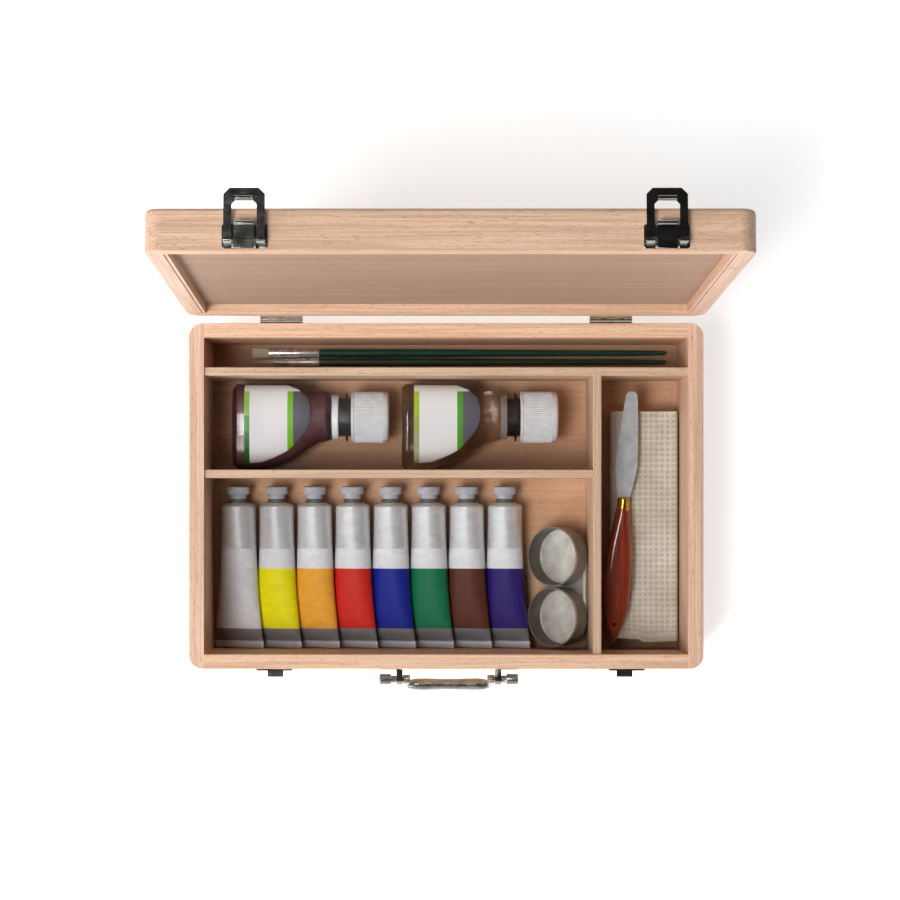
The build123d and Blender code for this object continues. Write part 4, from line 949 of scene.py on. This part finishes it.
TUFTS = (
    # brush, stands on its edge, seed, length of the hair, how far it fans out
    ("brush_back", False, 3, 14.5, 14.0),
    ("brush_front", True, 5, 17.8, -46.0),
)
for brush, upright, seed, length, fan in TUFTS:
    low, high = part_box(brush + "_bristles")
    root = Vector((high.x, (low.y + high.y) / 2, (low.z + high.z) / 2))
    bed = bpy.data.meshes.new(brush + "_hair")
    bed.from_pydata([(0, 0, 0)], [], [])
    piece = bpy.data.objects.new(brush + "_hair", bed)
    bpy.context.scene.collection.objects.link(piece)
    run_rule(piece, hairs, Width=6.5 * MM, Thickness=3.3 * MM, Length=length * MM, Density=3.2e7,
             Hair=0.16 * MM, Fan=fan, Seed=seed, Finish=bristle)
    turn_up = Matrix.Rotation(math.pi / 2 if upright else 0.0, 4, "X")
    stand = turn_up @ Matrix.Rotation(-math.pi / 2, 4, "Y") @ Matrix.Rotation(math.pi / 2, 4, "Z")
    piece.data.transform(Matrix.Translation(root) @ stand)
    settle(piece, brush, "bristle", brush + "_bristles")

# %% [markdown]
# The double cup is drawn from tinplate: two shallow cups with rolled rims on a folded clip, leaning
# against the divider. Drawing and spinning leave fine lines round each cup, so the finish reads the
# surface's own coordinate along the profile: noise on it alone gives rings, on the wall and on the
# bottom alike. A ramp on it paints the inner wall dark as shade and paints the rolled rim and the
# bottom bright as highlights, over a plain mid-grey outside.

# %% Cups
CUP_PROFILE = [(0.0, 0.0), (0.0, 20.6), (0.12, 21.4), (0.6, 22.0), (1.2, 22.2), (13.9, 22.2),
               (14.2, 22.3), (14.7, 22.45), (15.2, 22.35), (15.55, 22.05), (15.5, 21.7),
               (15.1, 21.45), (14.4, 21.4), (2.4, 21.4), (1.5, 21.1), (0.95, 20.4), (0.8, 19.4),
               (0.8, 0.0)]
CUP_RUN = 73.1  # length of the profile
CUP_RADIUS, CUP_HEIGHT, CUP_MOUTH_X, BOARD_TOP = 22.2, 15.6, 79.7, 6.2
LEAN = math.radians(38.5)

spun, tree, shader, seen = start_material("spun_tinplate", Metallic=0.65, Anisotropic=0.55)
flat = put(tree, "ShaderNodeUVMap", uv_map="surface").outputs[0]
run = put(tree, "ShaderNodeSeparateXYZ", {0: flat}).outputs["Y"]
spun_rings = put(tree, "ShaderNodeTexNoise", {"W": run, "Scale": 2.2, "Detail": 3.0},
                 noise_dimensions="1D").outputs["Fac"]
stain = stretched(tree, seen, 9.0, 9.0, 4.0)
part_way = put(tree, "ShaderNodeMath", {0: run, 1: CUP_RUN}, operation="DIVIDE").outputs[0]
# Painted light: this ramp paints a highlight on the rolled rim and the inside bottom and paints
# shade on the inner wall.
painted_rim_highlight_and_wall_shade = tones(tree, part_way, [(0.47, "#a3a2a0"), (0.49, "#e6e4de"), (0.53, "#635e58"),
                                 (0.7, "#8b867e"), (0.735, "#f3f1ea")])
rough = put(tree, "ShaderNodeMapRange", {0: stain, 1: 0.3, 2: 0.7, 3: 0.36, 4: 0.5}).outputs[0]
surface(tree, shader, tones(tree, stain, [(0.3, "#d6d4cf"), (0.7, "#ffffff")], painted_rim_highlight_and_wall_shade), rough,
        spun_rings, 0.3, 0.15)
tangent = put(tree, "ShaderNodeTangent", direction_type="UV_MAP", uv_map="surface")
tree.links.new(tangent.outputs[0], shader.inputs["Tangent"])

cup_axis = (-math.sin(LEAN), 0.0, math.cos(LEAN))
for cup_name, y, replaced in (("cup_back", -45.4, ["cups"]), ("cup_front", -90.9, [])):
    base = (CUP_MOUTH_X + CUP_HEIGHT * math.sin(LEAN), y, BOARD_TOP + CUP_RADIUS * math.sin(LEAN))
    cup = turned(cup_name, base, cup_axis, CUP_PROFILE, spun, 96, 45)
    settle(cup, "double_cup", "tinned_steel", *replaced)
smooth_copy("cup_clip", "clip_of_the_cups", tinplate, "double_cup", "tinned_steel")

# %% [markdown]
# The cloth is a cotton waffle towel, folded back and forth into a pad. A waffle weave is a grid of
# sunken squares between raised ridges, here 4.2 mm apart. The pad is one continuous strip: a path
# runs to and fro across the width, and the sheet is that path given a thickness. On the top layer
# the points are close enough for the squares to be real relief; below it they are wider apart.

# %% The path of the folds
CLOTH_X, CLOTH_Y = (124.8, 175.2), (-109.8, 63.9)
LAYERS, CLOTH_THICK, CLOTH_GAP, CELL = 6, 3.4, 0.5, 4.2
FINE_STEP, COARSE_STEP, BENDS, COLUMNS = 0.66, 2.6, 10, 264
RELIEF_DEPTH, SWELL_DEPTH = 0.95, 0.55
pitch = CLOTH_THICK + CLOTH_GAP
bend_radius = pitch / 2
bend_reach = bend_radius + CLOTH_THICK / 2
left_x, right_x = CLOTH_X[0] + bend_reach, CLOTH_X[1] - bend_reach
path = []
for layer in range(LAYERS):
    z = BOARD_TOP + CLOTH_THICK / 2 + layer * pitch
    way = 1 if layer % 2 == 0 else -1
    begin, stop = (left_x, right_x)[::way]
    count = int(round(abs(stop - begin) / (FINE_STEP if layer == LAYERS - 1 else COARSE_STEP)))
    path += [(begin + (stop - begin) * k / count, z, layer) for k in range(count + 1)]
    if layer < LAYERS - 1:
        path += [(stop + way * bend_radius * math.sin(math.pi * k / BENDS),
                  z + bend_radius * (1 - math.cos(math.pi * k / BENDS)), layer + 0.5)
                 for k in range(1, BENDS)]
lengths = np.cumsum([0.0] + [math.dist(a[:2], b[:2]) for a, b in zip(path, path[1:])])

# %% [markdown]
# The relief: ridges stand where a point is near a cell's border, in either direction. A low and
# slow swell is cut away with it, because a folded towel is never quite flat, and the front end is
# left uneven. Both only go inwards, so the pad keeps clear of the walls.

# %% The waffle cloth
def waffle(a, b):
    """0 in the middle of a cell and 1 on the ridge between two, from two lengths in millimetres."""
    near = max(abs((a / CELL) % 1.0 - 0.5), abs((b / CELL) % 1.0 - 0.5)) * 2
    return near ** 1.7


def eased(value, low, high):
    """0 below low, 1 above high and smooth between them."""
    t = min(max((value - low) / (high - low), 0.0), 1.0)
    return t * t * (3 - 2 * t)


HEM = CLOTH_Y[0] + 7.5


def relief(a, x, y):
    """How deep the cloth's face lies here: the waffle, flat along one side and past the hem."""
    plain = 0.3 + 0.7 * eased(x, CLOTH_X[0] + 6.0, CLOTH_X[0] + 14.0) * eased(y, HEM, HEM + 0.8)
    seam = math.exp(-((y - HEM) / 0.5) ** 2)
    return min(1.0, (1 - waffle(a, y)) * plain + 0.7 * seam)


def uneven(x, y):
    """How far the cloth's front end stands back here: never quite straight, less on the right."""
    fade = 1 - eased(y, CLOTH_Y[0], CLOTH_Y[0] + 22.0)
    return fade * (0.5 + 0.5 * math.sin(x / 9.0 + 0.6) + 2.2 * (1 - eased(x, 146.0, 149.0)))


def slow_wave(a, b):
    """A low swell between 0 and 1."""
    return 0.5 + 0.25 * (math.sin(a / 17.0 + b / 41.0) + math.sin(b / 23.0 - a / 35.0 + 1.3))


# %% [markdown]
# The sheet follows the path with half its thickness on each side. The top layer runs back to the
# left, so there the path's left-hand side is its underside, and the relief is cut into the other
# one. The layers below stay smooth, and the folds between them have no relief, only its painted
# shade.

# %% The sheet
half = CLOTH_THICK / 2
upper, lower, depths = [], [], []
for i, (x, z, layer) in enumerate(path):
    before, after = path[max(i - 1, 0)], path[min(i + 1, len(path) - 1)]
    direction = Vector((after[0] - before[0], after[1] - before[1])).normalized()
    normal = Vector((-direction[1], direction[0]))
    top = layer == LAYERS - 1
    row_up, row_down = [], []
    for y in np.linspace(CLOTH_Y[0], CLOTH_Y[1], COLUMNS):
        # The depth cuts the top layer's relief and is also kept for painted shade. On the folds it
        # is only painted shade.
        depth = relief(lengths[i], x, y) if top or layer % 1 else 0.0
        face = half - RELIEF_DEPTH * depth - SWELL_DEPTH * slow_wave(x, y) if top else half
        plus, minus, y_here = normal * half, normal * face, y + uneven(x, y)
        row_up.append((x + plus[0], y_here, z + plus[1]))
        row_down.append((x - minus[0], y_here, z - minus[1]))
        depths.append(depth)
    upper.append(row_up)
    lower.append(row_down)

cotton, tree, shader, seen = start_material("unbleached_waffle_cotton", Roughness=0.9,
                                            Sheen_Weight=0.35, Sheen_Roughness=0.5)
yarn = stretched(tree, seen, 0.9, 0.7, 2.0)
patches = stretched(tree, seen, 25.0, 18.0)
# Painted shade: the cloth is darkened where its relief lies deep, in the sunken squares, along the
# hem and on the folds.
painted_recess_shade = put(tree, "ShaderNodeAttribute", attribute_name="depth").outputs["Fac"]
threads = tones(tree, yarn, [(0.3, "#cbc7be"), (0.7, "#e7e4dd")])
patched = tones(tree, patches, [(0.3, "#e6e1d6"), (0.7, "#ffffff")], threads)
surface(tree, shader, tones(tree, painted_recess_shade, [(0.1, "#ffffff"), (0.95, "#e2dccf")], patched),
        height=yarn, strength=0.6, depth_mm=0.3)
towel = sheet_between("waffle_towel", upper, lower, cotton, 75)
towel.data.attributes.new("depth", "FLOAT", "POINT").data.foreach_set("value", depths + depths)
settle(towel, "cloth", "cotton", "cloth")

# %% [markdown]
# The palette knife: a blade of ground spring steel, a short brass ferrule and a turned handle in
# mahogany stain under gloss varnish. Varnish again is a coat: the colour below stays warm and soft
# while the coat gives the long narrow highlight.

# %% Palette knife
mahogany, tree, shader, seen = start_material("varnished_mahogany", Roughness=0.4,
                                              Coat_Weight=1.0, Coat_Roughness=0.05)
place = put(tree, "ShaderNodeMapping", {"Vector": seen, "Rotation": ALONG_Y}).outputs[0]
pores = stretched(tree, place, 9.0, 0.5, 2.0)
figure = stretched(tree, place, 60.0, 4.0, distortion=0.5)
stained = tones(tree, figure, [(0.3, "#681b08"), (0.7, "#a53f19")])
surface(tree, shader, tones(tree, pores, [(0.38, "#5a2a20"), (0.5, "#ffffff")], stained, 0.35))
for part, worked, finish, slot in (("handle", "varnished", mahogany, "stained_wood"),
                                   ("ferrule", "polished", brass, "brass"),
                                   ("blade", "ground", spring_steel, "bright_steel")):
    smooth_copy(f"knife_{part}", f"knife_{part}_{worked}", finish, "knife", slot, 35)
